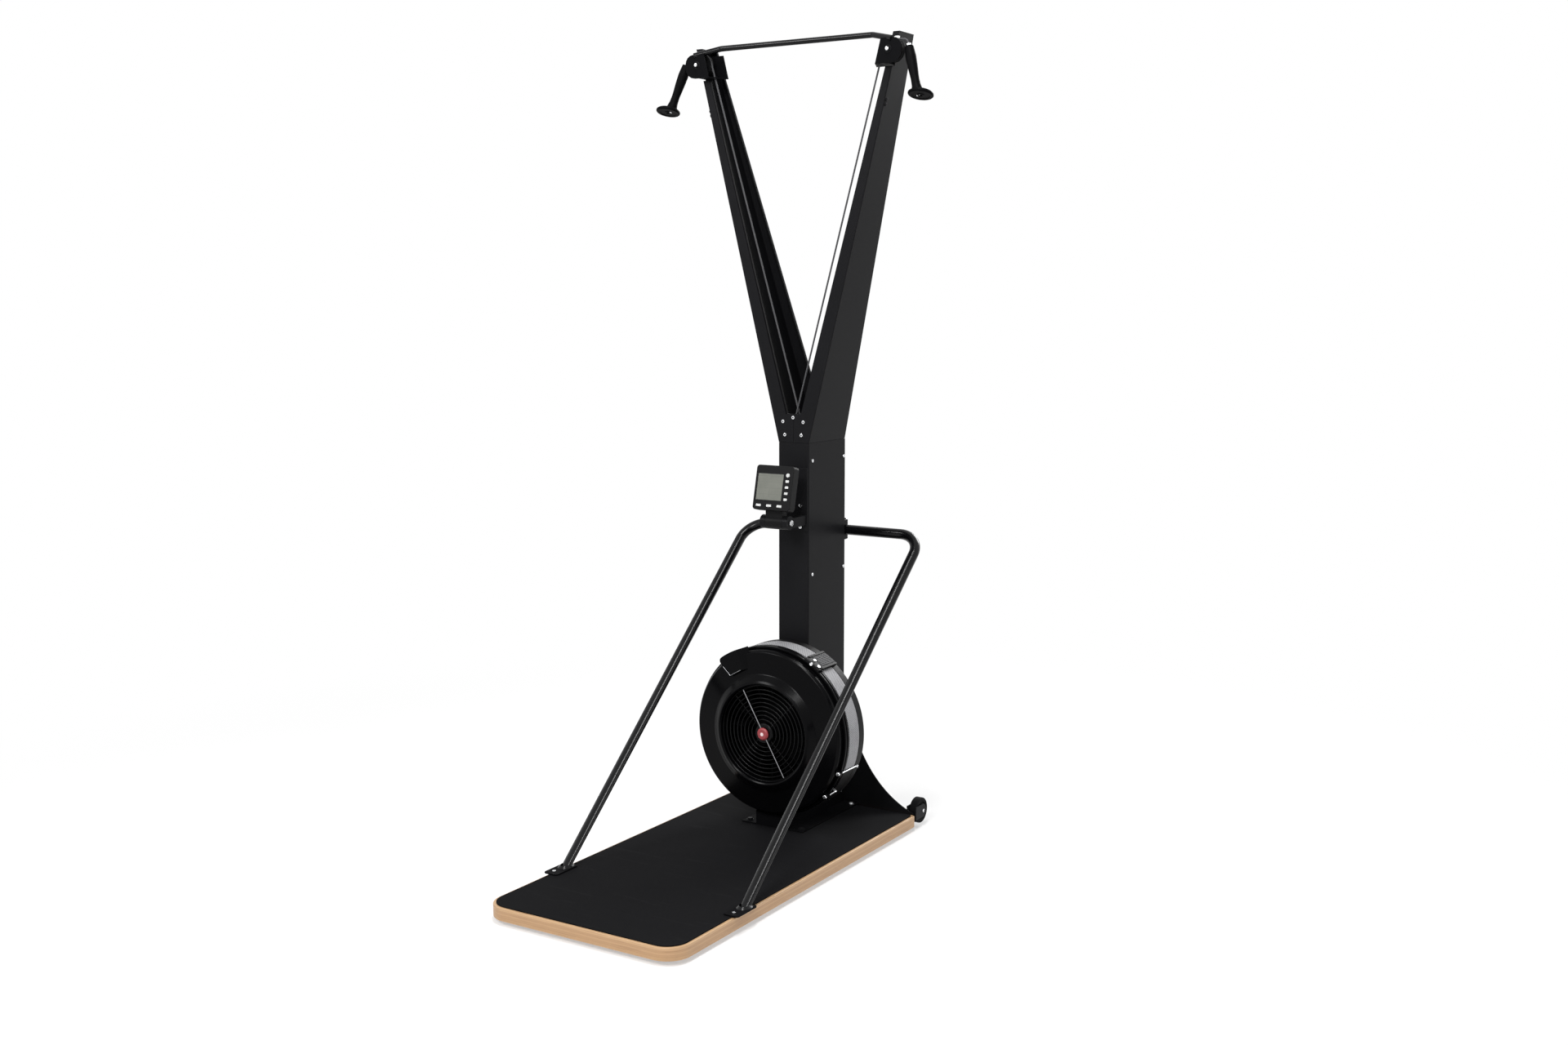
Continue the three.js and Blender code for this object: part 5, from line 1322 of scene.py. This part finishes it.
@dataclass
class Cords:
    """The pull cords over their pulleys, and the leads down to the handles."""

    radius: float = 2.5
    top_pitch: float = 30.6
    guide_pitch: float = 22.0
    drum_pitch: float = 38.0
    drum_y: tuple[float, float] = (1111.0, 1066.0)
    drum_turn: float = math.radians(150)
    ferrule: float = 9.0
    lead_end: Triple = (359.3, 1022.6, 2248.4)
    lead_rise: float = 8.5

    def leave(self) -> float:
        """The turn at which the lead leaves the top pulley."""
        x, z = (HANDLE_TOP[i] - HANDLE_AXIS[i] * self.ferrule - TOP_PULLEY[i] for i in (0, 2))
        return math.atan2(z, x) + math.acos(self.top_pitch / math.hypot(x, z))

    def arc(self, middle: Triple, radius: float, start: float, end: float, steps: int,
            sign: int) -> list[Vector]:
        """Points round a pulley, turns in radians, mirrored where the sign is negative.

        Args:
            middle: The pulley's middle.
            radius: The cord's radius round it.
            start: The first turn, in radians.
            end: The last turn.
            steps: How many steps lie between them.
            sign: 1, or -1 for the other side of the machine.

        Returns:
            The points.
        """
        x, y, z = middle
        turns = [start + (end - start) * k / steps for k in range(steps + 1)]
        return [at(sign * (x + radius * math.cos(t)), y, z + radius * math.sin(t)) for t in turns]

    def tube(self, name: str, points: Sequence[Vector], sides: int = 4) -> Shape:
        """A round cord through points.

        Args:
            name: The object's name.
            points: The points of its route.
            sides: The resolution of its round section.

        Returns:
            The new shape.
        """
        curve = bpy.data.curves.new(name, "CURVE")
        curve.dimensions, curve.bevel_depth, curve.bevel_resolution = "3D", self.radius * MM, sides
        curve.use_fill_caps = True
        spline = curve.splines.new("POLY")
        spline.points.add(len(points) - 1)
        for point, place in zip(spline.points, points):
            point.co = (*place, 1.0)
        Shape.linked(name, curve)
        bpy.ops.object.convert(target="MESH")
        return Shape(bpy.context.object, name)

    def run(self, side: Side) -> list[Vector]:
        """The held cord's route, from the top pulley to the drum.

        Args:
            side: The side of the machine.

        Returns:
            The points of the route.
        """
        sign, k = side.value, (side.value + 1) // 2
        guide = (GUIDE_X, GUIDE_Y[k], GUIDE_Z)
        span_x, span_z = TOP_PULLEY[0] - GUIDE_X, TOP_PULLEY[2] - GUIDE_Z
        down = math.pi - math.asin((span_x + self.guide_pitch - self.top_pitch) / math.hypot(span_x, span_z))
        line = sign * (GUIDE_X - self.guide_pitch)
        drop = math.atan2(self.drum_pitch - line, GUIDE_Z - HUB_HEIGHT)
        drum = (0, self.drum_y[k], HUB_HEIGHT)
        return (self.arc(TOP_PULLEY, self.top_pitch, self.leave(), down, 28, sign)
                + self.arc(guide, self.guide_pitch, down, math.pi + sign * drop, 10, sign)
                + self.arc(drum, self.drum_pitch, drop, drop - self.drum_turn, 24, 1))

    def lead(self, side: Side) -> list[Vector]:
        """The lead's route: off the pulley, over, and down into the ferrule.

        Args:
            side: The side of the machine.

        Returns:
            The points of the route.
        """
        turn, axis = self.leave(), Vector(HANDLE_AXIS)
        start = Vector(TOP_PULLEY) + Vector((math.cos(turn), 0, math.sin(turn))) * self.top_pitch
        end = Vector(HANDLE_TOP) - axis * self.ferrule
        lift = end - axis * 13.0
        bend = [start.lerp(lift, k / 12) for k in range(9)]
        last, way = bend[-1], (lift - start).normalized()
        for k in range(1, 25):
            t = k / 24
            bend.append(last * (1 - t) ** 3 + (last + way * 9) * 3 * t * (1 - t) ** 2
                        + (end - axis * 7) * 3 * t * t * (1 - t) + (end + axis * 1.5) * t ** 3)
        return [at(side.value * p.x, p.y, p.z) for p in bend]

    def build(self) -> None:
        """Builds the cords."""
        x, y, z = self.lead_end
        for side in Side:
            word, end = side.word, at(side.value * x, y, z)
            self.tube(f"{word}_cord_run", self.run(side)).finish(Finish.CORD, f"{word}_pull_cord", smooth=60)
            lead = self.tube(f"{word}_lead", self.lead(side), 6)
            lead.dress(Finish.CORD, smooth=60)
            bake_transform(lead.item)
            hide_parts(f"{word}_cord_lead")


@dataclass
class Handles:
    """The two grips with their ferrules and end screws."""

    length: float = 143.0
    throat: float = 11.3
    shoulder: float = 13.4
    swell: float = 14.8
    base: float = 35.0
    thickness: float = 13.0
    shift: float = 9.0
    lean: float = 0.3

    def grip(self) -> Profile:
        """The shaft's profile, flaring where it meets the base.

        Returns:
            Radius and distance along the grip's axis.
        """
        flare, wide = self.length - self.thickness, self.shoulder + 2.6
        return rounded([(6.3, 0, 0.3), (self.shoulder - 1, 0, 3), (self.swell, 30, 16),
                        (self.swell - 0.8, 52, 30), (self.throat, 94, 60),
                        (self.throat + 0.8, flare - 18, 26), (wide, flare + 1),
                        (wide, flare + 6), (3.3, flare + 6), (3.3, 18), (6.3, 18)], 8)

    def palm(self) -> Profile:
        """The base's profile: a low dome over a rounded rim, with a ring pressed into its underside.

        Returns:
            Radius and distance along its axis.
        """
        r, t = self.base, self.thickness
        return rounded([(0, -4.5), (14, -4, 4), (22, 0.5, 8), (r - 5, 2, 4), (r, 6, 4), (r, t - 2.5, 2.4),
                        (r - 2.5, t, 2), (r - 9, t, 1), (r - 11, t - 1.6, 1), (11, t - 1.6, 1), (9, t, 1),
                        (5.3, t, 0.5), (5.3, t - 5.5), (0, t - 5.5)], 6)

    def core(self) -> Profile:
        """The profile of the ferrule and, on the same axis, the end screw.

        Returns:
            Radius and distance along the grip's axis.
        """
        end = self.length
        return rounded([(0, -9), (4.6, -9), (6, -7, 0.8), (6, 17.7), (3, 17.7), (3, end - 5.7), (5, end - 5.7),
                        (5, end - 0.4, 1.2), (2.2, end - 0.4), (2.2, end - 2.2), (0, end - 2.2)], 3)

    def build(self) -> None:
        """Builds both handles."""
        down = Vector((0, -self.lean, -1)).normalized()
        for side in Side:
            word, sign = side.word, side.value
            start = at(sign * HANDLE_TOP[0], *HANDLE_TOP[1:])
            axis = Vector((sign * HANDLE_AXIS[0], *HANDLE_AXIS[1:])).normalized()
            top = start + (axis * (self.length - self.thickness / 2) - down * self.thickness / 2) * MM
            palm = Shape.turned("palm", self.palm(), top + mm(sign * self.shift, 0, 0), down, 72)
            shaft = Shape.turned(f"{word}_grip", self.grip(), start, axis).join(palm)
            shaft.finish(Finish.MATTE_PLASTIC, f"{word}_handle", body=f"{word}_handle_body", look=Look.HANDLE)
            core = Shape.turned(f"{word}_ferrule", self.core(), start, axis, 40)
            core.finish(Finish.ZINC, f"{word}_handle_core", body=f"{word}_handle_body")


def spread(bar: Shape, turn: float) -> Shape:
    """Turns a bar that lies along x at the axis' height to its place about the flywheel."""
    return bar.move(Matrix.Translation((0, 0, HUB.z)) @ Matrix.Rotation(-math.radians(turn), 4, "Y"))


@dataclass
class Housing:
    """The flywheel's housing: front cover, grille, cap, screen band and rear cover."""

    rings: int = 9
    ring_outer: float = 141.7
    ring_pitch: float = 12.41
    ring_bar: float = 3.4
    grille_front: float = 862.0
    wire_turn: float = 119.7
    clamps: Profile = ((-20.8, -20.8, 986.0), (-40.3, -38.0, 928.0))
    posts: int = 8
    ribs: int = 12

    def front(self) -> None:
        """The front cover, with its raised lip round the recess."""
        profile = rounded([
            (239, 936, 0.6), (239, 883, 5), (233, 876, 6), (172, 867, 14), (154, 853.6, 5), (147, 850, 3.2),
            (142, 853.2, 2), (142, 871.7, 0.5), (136, 871.7, 0.5), (136, 874.9, 0.5), (145.2, 874.9, 0.5),
            (145.2, 857, 2), (150, 857, 2), (169.5, 870.4, 10), (230, 879.4, 4),
            (235.8, 885, 3), (235.8, 936, 0.6)], 6)
        cover = Shape.turned("front_cover", profile, steps=144)
        ear = rounded([(236, 885.5), (256, 885.5, 3), (256, 897.5, 3), (236, 897.5)])
        cover.join(*(Shape.sector("lug", ear, turn - 1.9, turn + 1.9, 6).bevel(0.8, shortest=8)
                     for turn, _, _ in self.clamps))
        cover.finish(Finish.GLOSS_PLASTIC, "housing_front_cover")

    def grille(self) -> None:
        """The rings, spokes and wire in the recess, and the cap in their middle."""
        front = self.grille_front
        disc = rounded([(0, 861), (8, 860.4), (27, 860.4, 2), (30, 863, 1), (30, 868), (0, 868)])
        grille = Shape.turned("grille", disc, steps=72)
        bars = [spread(Shape.block("spoke", at(26.6, 866.3, -1.7), at(140, 871.4, 1.7)).bevel(0.7), 45 + 90 * i)
                for i in range(4)]
        for i in range(self.rings):
            outer = self.ring_outer - i * self.ring_pitch
            inner = outer - self.ring_bar
            ring = rounded([(inner, front, 1.4), (outer, front, 1.4),
                            (outer, front + 6, 0.5), (inner, front + 6, 0.5)])
            bars.append(Shape.turned("ring", ring, steps=96))
        grille.join(*bars).finish(Finish.GLOSS_PLASTIC, "intake_grille", look=Look.RING)
        ends = (around(138, self.wire_turn + half, 860.1) for half in (0, 180))
        wire = Shape.rod("grille_wire", *ends, 1.5, 16)
        wire.chamfer(0.5, lambda f: len(f.verts) > 4)
        wire.finish(Finish.STEEL)
        cap = rounded([(0, 851), (5.2, 851, 0.3), (5.6, 851.8, 0.3), (14, 851.6, 2), (18, 855, 2),
                       (18, 858.2), (0, 858.2)])
        Shape.turned("red_hub_cap", cap).finish(Finish.RED_CAP, "hub_cap")

    def rear(self) -> None:
        """The rear cover with its boss, cage and ribs."""
        disc = rounded([
            (16, 1003, 0.5), (235.8, 1003), (235.8, 976.4), (249, 976.4, 1.2), (249, 1003, 4), (243, 1010, 2),
            (66, 1010, 3), (62, 1014, 2), (62, 1022.3, 1), (50, 1022.3, 1), (50, 1010, 2), (16, 1010, 0.5)], 5)
        plate = Shape.turned("rear_cover", disc, steps=128)
        edge = [(235.8, 920.3), (248.4, 920.3), (248.4, 977), (235.8, 977)]
        skirt = Shape.sector("skirt", edge, 201.8, 338.2, 64)
        post = [(240.5, 936.8), (245, 936.8), (245, 977), (240.5, 977)]
        turns = [-22 + 224 * (i + 0.5) / self.posts for i in range(self.posts)]
        posts = [Shape.sector("post", post, turn - 1, turn + 1, 2) for turn in turns]
        ribs = [spread(Shape.block("rib", at(64, 1008.5, -1.5), at(240, 1013, 1.5)).bevel(0.6),
                       -360 * (i + 0.5) / self.ribs) for i in range(self.ribs)]
        plate.join(skirt, *posts, *ribs).finish(Finish.MATTE_PLASTIC, "housing_rear_cover")

    def screen(self) -> None:
        """The screen band, with the bars and knobs that hold it."""
        band = rounded([(246.4, 920.5, 0.3), (248.4, 920.5, 0.6), (248.4, 976, 0.6), (246.4, 976, 0.3)], 3)
        Shape.sector("screen_band", band, -21.6, 201.6, 144).finish(Finish.GREY_SCREEN, "housing_screen")
        for k, (turn, far, y) in enumerate(self.clamps):
            bar = Shape.rod(f"band_clamp_{k}", around(252, turn, 881.5), around(251.6, far, y), 2.0, 20)
            front = Shape.rod("knob", around(250, turn, 879), around(250, turn, 885.8), 5.4, 24).bevel(1.6, 3)
            rear = Shape.rod("knob", around(247, far, y - 1), around(255.5, far, y - 1), 4.8, 24).bevel(1.6, 3)
            bar.join(front, rear).finish(Finish.ZINC)

    def build(self) -> None:
        """Builds the housing."""
        self.front()
        self.grille()
        self.rear()
        self.screen()


@dataclass
class Damper:
    """The damper ring with its pointer tab, and the ribbed grip across the screen."""

    inner: float = 240.4
    outer: float = 248.6
    front: float = 900.0
    rear: float = 918.0
    tab_front: float = 860.0
    ramp: int = 6
    tab_from: float = 111.0
    tab_to: float = 128.0
    grip_from: float = 50.5
    grip_to: float = 63.0
    ribs: int = 7

    def ring(self) -> None:
        """The ring and its tab, which blends into the ring by a ramp."""
        ring = rounded([
            (self.inner, self.front, 0.5), (247.8, self.front, 2), (247.8, 906, 0.6), (245.6, 907, 0.4),
            (245.6, 910.5, 0.4), (self.outer, 911.5, 0.6), (self.outer, self.rear, 1),
            (self.inner, self.rear, 0.5)])
        band = Shape.turned("damper_band", ring, steps=144)
        first, last, low = self.tab_from, self.tab_to - 2.4, self.tab_front
        rim = [(252, first + (last - first) * k / 10) for k in range(11)]
        rim += [(249.5, self.tab_to - 0.9), (243, self.tab_to), (224, self.tab_to), (191, 126.5), (191, first)]
        tab = Shape.plate("tab", [around(radius, turn, low) for radius, turn in rim], mm(0, 4, 0))
        tab.bevel(1.8, 3, shortest=4, sharpest=50,
                  test=lambda e: any(turn_of(v.co) > first + 0.2 for v in e.verts))
        profile = [(191.6, 863), (251, 863), (251, 884), (238.6, 882), (232.6, 875.1), (191.6, 869)]
        skirt = Shape.sector("skirt", profile, first + 0.2, 126.3, 12)
        wall = [(240.6, 862, 0.5), (252, 862, 2), (252, self.rear, 2), (240.6, self.rear, 0.5)]
        web = Shape.sector("web", rounded(wall), first, last, 12)
        ramp = Shape.sector("ramp", [(191, low), (252, low), (252, 899), (240.6, 899), *profile[4:]],
                            first - self.ramp, first + 0.1, self.ramp)
        for k in range(self.ramp):
            share = k / self.ramp
            ease = share * share * (3 - 2 * share)
            ramp.select("VERT", lambda v: abs(turn_of(v.co) - first + self.ramp - k) < 0.4)
            bpy.ops.transform.resize(value=(1, ease, 1), center_override=at(0, 880, 0))
        band.join(tab, skirt, web, ramp).finish(Finish.GLOSS_PLASTIC, "damper_ring", body="damper")
        # Painted highlight: a bright steel line along the tab's lower edges stands in for the light that those
        # edges catch.
        line = [around(radius, turn, low - 0.3) for radius, turn in ((226, 127.4), (193, 125.8), (193, 113.5))]
        Shape.bent_tube("painted_edge_highlight", line, 3.0, 0.9, 12).finish(Finish.STEEL, body="damper")

    def grip(self) -> None:
        """The grip across the screen: a black saddle with a ribbed pad and its screws."""
        low, high, inset = self.grip_from, self.grip_to, self.grip_from + 1.9
        saddle = [(248.9, 896, 0.5), (256.4, 896, 3), (257.2, 906, 4), (257.2, 996, 2), (248.9, 996, 0.5)]
        grip = Shape.sector("grip", rounded(saddle), low, high, 16)
        wall = rounded([(254, 898), (259.6, 912, 6), (259.6, 994, 2), (254, 994)])
        grip.join(*(Shape.sector("rail", wall, start, start + 1.5, 3).bevel(0.8, shortest=20, sharpest=30)
                    for start in (low, high - 1.5)))
        grip.finish(Finish.MATTE_PLASTIC, "damper_grip", body="damper")
        pad = Shape.sector("grip_pad", rounded([(256.4, 922), (258, 922, 1), (258, 992, 1), (256.4, 992)], 3),
                           inset, high - 1.9, 12)
        pitch = (high - low - 3.8) / self.ribs
        ridge = rounded([(257, 924), (259, 924, 0.8), (259, 990, 0.8), (257, 990)], 3)
        for i in range(self.ribs):
            start = inset + pitch * (i + 0.25)
            rib = Shape.sector("ridge", ridge, start, start + pitch / 2, 2)
            pad.join(rib.bevel(0.4, shortest=20, sharpest=30))
        pad.finish(Finish.MATTE_PLASTIC, body="damper", look=Look.GRIP)
        middle = (low + high) / 2
        screws = [(around(252.8, middle + 0.4, 896), -BACK)]
        screws += [(around(257, turn, y), around(257, turn, y) - around(0, 0, y))
                   for turn, y in ((middle + 1.4, 915), (low + 2.4, 905))]
        Fastener.PAN.rack("grip_screws", screws, body="damper")

    def build(self) -> None:
        """Builds the damper."""
        self.ring()
        self.grip()


@dataclass
class Monitor:
    """The monitor on its plate and hinge, with display and buttons."""

    width: float = 124.0
    height: float = 128.0
    depth: float = 29.0
    corner: float = 9.0
    tilt: float = 13.0
    face: Triple = (0.0, 912.5, 1041.0)
    display: tuple[float, float, float, float] = (-54.5, 30.5, -36.0, 41.0)
    hinge: tuple[float, float] = (931.0, 941.0)
    side_button: Triple = (44.5, 37.5, 17.2)
    low_buttons: tuple[float, ...] = (-42.0, -7.5, 27.0)
    low_button_z: float = -51.5
    screws: Profile = ((27, 1018.6, 981), (27, 1018.6, 919))

    def pose(self) -> Matrix:
        """The matrix from the case's own place, face at y 0, to the machine's."""
        return Matrix.Translation(at(*self.face)) @ Matrix.Rotation(-math.radians(self.tilt), 4, "X")

    def buttons(self) -> list[Triple]:
        """Place and half width of each button on the face: the round one, the side row, then the low row.

        Returns:
            Place across, place up and half width of each.
        """
        x, top, pitch = self.side_button
        low_row = [(u, self.low_button_z, 8.0) for u in self.low_buttons]
        return [(x, top - i * pitch, 5.5) for i in range(5)] + low_row

    def case(self) -> None:
        """The case, its display and its knuckle."""
        wide, tall = self.width / 2, self.height / 2
        case = Shape.block("case", mm(-wide, 0, -tall), mm(wide, self.depth, tall))
        case.bevel(self.corner, 8, test=lambda e: abs((e.verts[0].co - e.verts[1].co).y) > 0.02)
        case.bevel(2.0, 4)
        x0, x1, z0, z1 = self.display
        (x, z, _), *others = self.buttons()
        pockets = [Shape.block("pocket", mm(u - half - 0.5, -5, v - 4), mm(u + half + 0.5, 3.2, v + 4))
                   for u, v, half in others]
        case.cut(Shape.block("window", mm(x0, -5, z0), mm(x1, 2.6, z1)), *pockets,
                 Shape.rod("pocket", mm(x, -5, z), mm(x, 3.2, z), 6.4))
        case.move(self.pose())
        y, z = self.hinge
        knuckle = Shape.rod("knuckle", at(-28, y, z), at(28, y, z), 20.0, 64).bevel(1.2, 3)
        neck = Shape.block("neck", at(-28, y - 15, z), at(28, y + 11, z + 40)).bevel(1.5, 3)
        case.join(knuckle, neck).finish(Finish.MATTE_PLASTIC, "monitor_case", body="monitor")
        glass = Shape.block("glass", mm(x0, 1.2, z0), mm(x1, 3.0, z1)).bevel(0.6)
        glass.move(self.pose()).finish(Finish.DISPLAY, "monitor_display", body="monitor")

    def caps(self) -> None:
        """The buttons, each on its own body."""
        for i, (x, z, half) in enumerate(self.buttons(), 1):
            name = f"button_cap_{i}"
            if i == 1:
                cap = Shape.rod(name, mm(x, 4, z), mm(x, -1.4, z), 5.6)
            else:
                cap = Shape.block(name, mm(x - half, -1.4, z - 3.5), mm(x + half, 4, z + 3.5))
                cap.bevel(1.6, 4, test=lambda e: abs((e.verts[0].co - e.verts[1].co).y) > 0.002)
            cap.bevel(0.7, 3).move(self.pose())
            cap.finish(Finish.BUTTON_GREY, f"monitor_button_{i}", body=f"button_{i}")

    def build(self) -> None:
        """Builds the monitor."""
        self.case()
        self.caps()
        y, z = self.hinge
        mount = Shape.copied("mount", "monitor_mount").bevel(1.0, shortest=7, sharpest=30)
        mount.finish(Finish.BLACK_COAT, "monitor_mount", outward=False)
        Fastener.PAN.rack("mount_screws", mirrored((at(*place), -BACK) for place in self.screws))
        pin = Shape.rod("pin", at(-45.3, y, z), at(45.3, y, z), 5.0)
        for u in (-1, 1):
            head = Shape.rod("head", at(u * 45.3, y, z), at(u * 52, y, z), 9.0, 6)
            pin.join(head.bevel(1.2, shortest=6, sharpest=30))
        pin.finish(Finish.ZINC, "hinge_pin")


@dataclass
class Inside:
    """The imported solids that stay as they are, mostly out of sight."""

    finishes: tuple[tuple[Finish, tuple[str, ...]], ...] = (
        (Finish.BLACK_COAT, ("bearing_frame", "arm_joint_plate")), (Finish.FOOT_RUBBER, ("flywheel_fan",)),
        (Finish.STEEL, ("left_recoil_spring", "right_recoil_spring", "left_drum", "right_drum", "drive_shaft")),
        (Finish.ZINC, ("left_pulley_axle", "right_pulley_axle")))

    def build(self) -> None:
        """Gives each solid its finish."""
        for finish, nodes in self.finishes:
            for node in nodes:
                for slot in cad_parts[node].material_slots:
                    slot.material = paints()[finish]
                LOG.info("%s: %s", node, finish.value)


@dataclass
class Studio:
    """Camera, pale floor, soft lamps and white surroundings."""

    eye: Triple = (2.5072, -3.7294, 1.5803)
    pitch: float = math.radians(90.0 - 7.723)
    heading: float = math.radians(31.81)
    lens: float = 38.4675
    sky: float = 0.22
    fade: Triple = (0.9, 3.0, 0.45)
    lamps: tuple[tuple[Triple, float, float, float], ...] = (
        ((-3.0, -4.2, 4.4), 120.0, 1.4, 1.4), ((4.6, 0.47, 2.0), 26.0, 0.4, 3.0),
        ((0.5, 4.8, 3.2), 170.0, 2.4, 2.4), ((0.8, -1.2, 4.8), 130.0, 0.35, 2.6),
        ((1.1, -4.4, 3.7), 140.0, 1.8, 1.0))

    def put(self, data: bpy.types.ID, place: Sequence[float]) -> bpy.types.Object:
        """Puts a camera or a lamp in its place.

        Args:
            data: The camera or lamp.
            place: Where it stands.

        Returns:
            The new object.
        """
        item = bpy.data.objects.new(data.name, data)
        bpy.context.scene.collection.objects.link(item)
        item.location = place
        return item

    def camera(self) -> None:
        """The camera at the photograph's angle."""
        data = bpy.data.cameras.new("camera")
        data.lens, data.sensor_width, data.clip_start, data.clip_end = self.lens, 36.0, 0.05, 100.0
        bpy.context.scene.camera = self.put(data, self.eye)
        bpy.context.scene.camera.rotation_euler = (self.pitch, 0.0, self.heading)

    def light(self) -> None:
        """Soft lamps, each turned to the middle of the machine."""
        for i, (place, power, width, height) in enumerate(self.lamps):
            data = bpy.data.lights.new(f"lamp_{i}", "AREA")
            data.shape, data.energy, data.size, data.size_y = "RECTANGLE", power, width, height
            self.put(data, place).rotation_euler = (UP - Vector(place)).to_track_quat("-Z", "Y").to_euler()

    def surroundings(self) -> None:
        """White where the camera or a reflection looks, a plain soft level for the light."""
        world = bpy.data.worlds.new("studio")
        bpy.context.scene.world = world
        graph = Graph(world)
        level = graph.seen * (1.0 - self.sky) + self.sky
        back = graph.node("Background", None, {"Color": (1, 1, 1, 1), "Strength": level})
        graph.node("OutputWorld", None, {"Surface": back})

    def floor(self) -> None:
        """A pale floor that keeps the machine's shadow and fades into the white round it."""
        floor = Shape.added("floor", bpy.ops.mesh.primitive_circle_add, vertices=96, radius=14.0,
                            fill_type="NGON")
        material = bpy.data.materials.new("floor")
        graph = Graph(material)
        x, y, _ = graph.axes()
        near, far, least = self.fade
        reach = (x * x + y * y).math("SQRT")
        fade = graph.node("MapRange", {"interpolation_type": "SMOOTHSTEP"},
                          {"Value": reach, "From Min": near, "From Max": far, "To Min": least})
        matt = graph.node("BsdfDiffuse", None, {"Color": tone(247, 247, 247)})
        glow = graph.node("Emission", None, {"Color": (1, 1, 1, 1)})
        graph.node("OutputMaterial", None,
                   {"Surface": graph.node("MixShader", None, {0: fade * graph.seen, 1: matt, 2: glow})})
        floor.item.data.materials.append(material)

    def build(self) -> None:
        """Builds the studio."""
        bpy.context.scene.view_settings.view_transform = "Standard"
        self.camera()
        self.light()
        self.surroundings()
        self.floor()


def main() -> None:
    """Builds the studio and every sub-assembly of the machine."""
    logging.basicConfig(level=logging.INFO, format="%(name)s: %(message)s")
    for part in (Studio, Deck, Column, Arms, Stay, Rear, PulleyHeads, Cords, Handles, Housing, Damper,
                 Monitor, Inside):
        part().build()
        LOG.info("%s is built", part.__name__)
    Shape.clear()


if __name__ == "__main__":
    main()
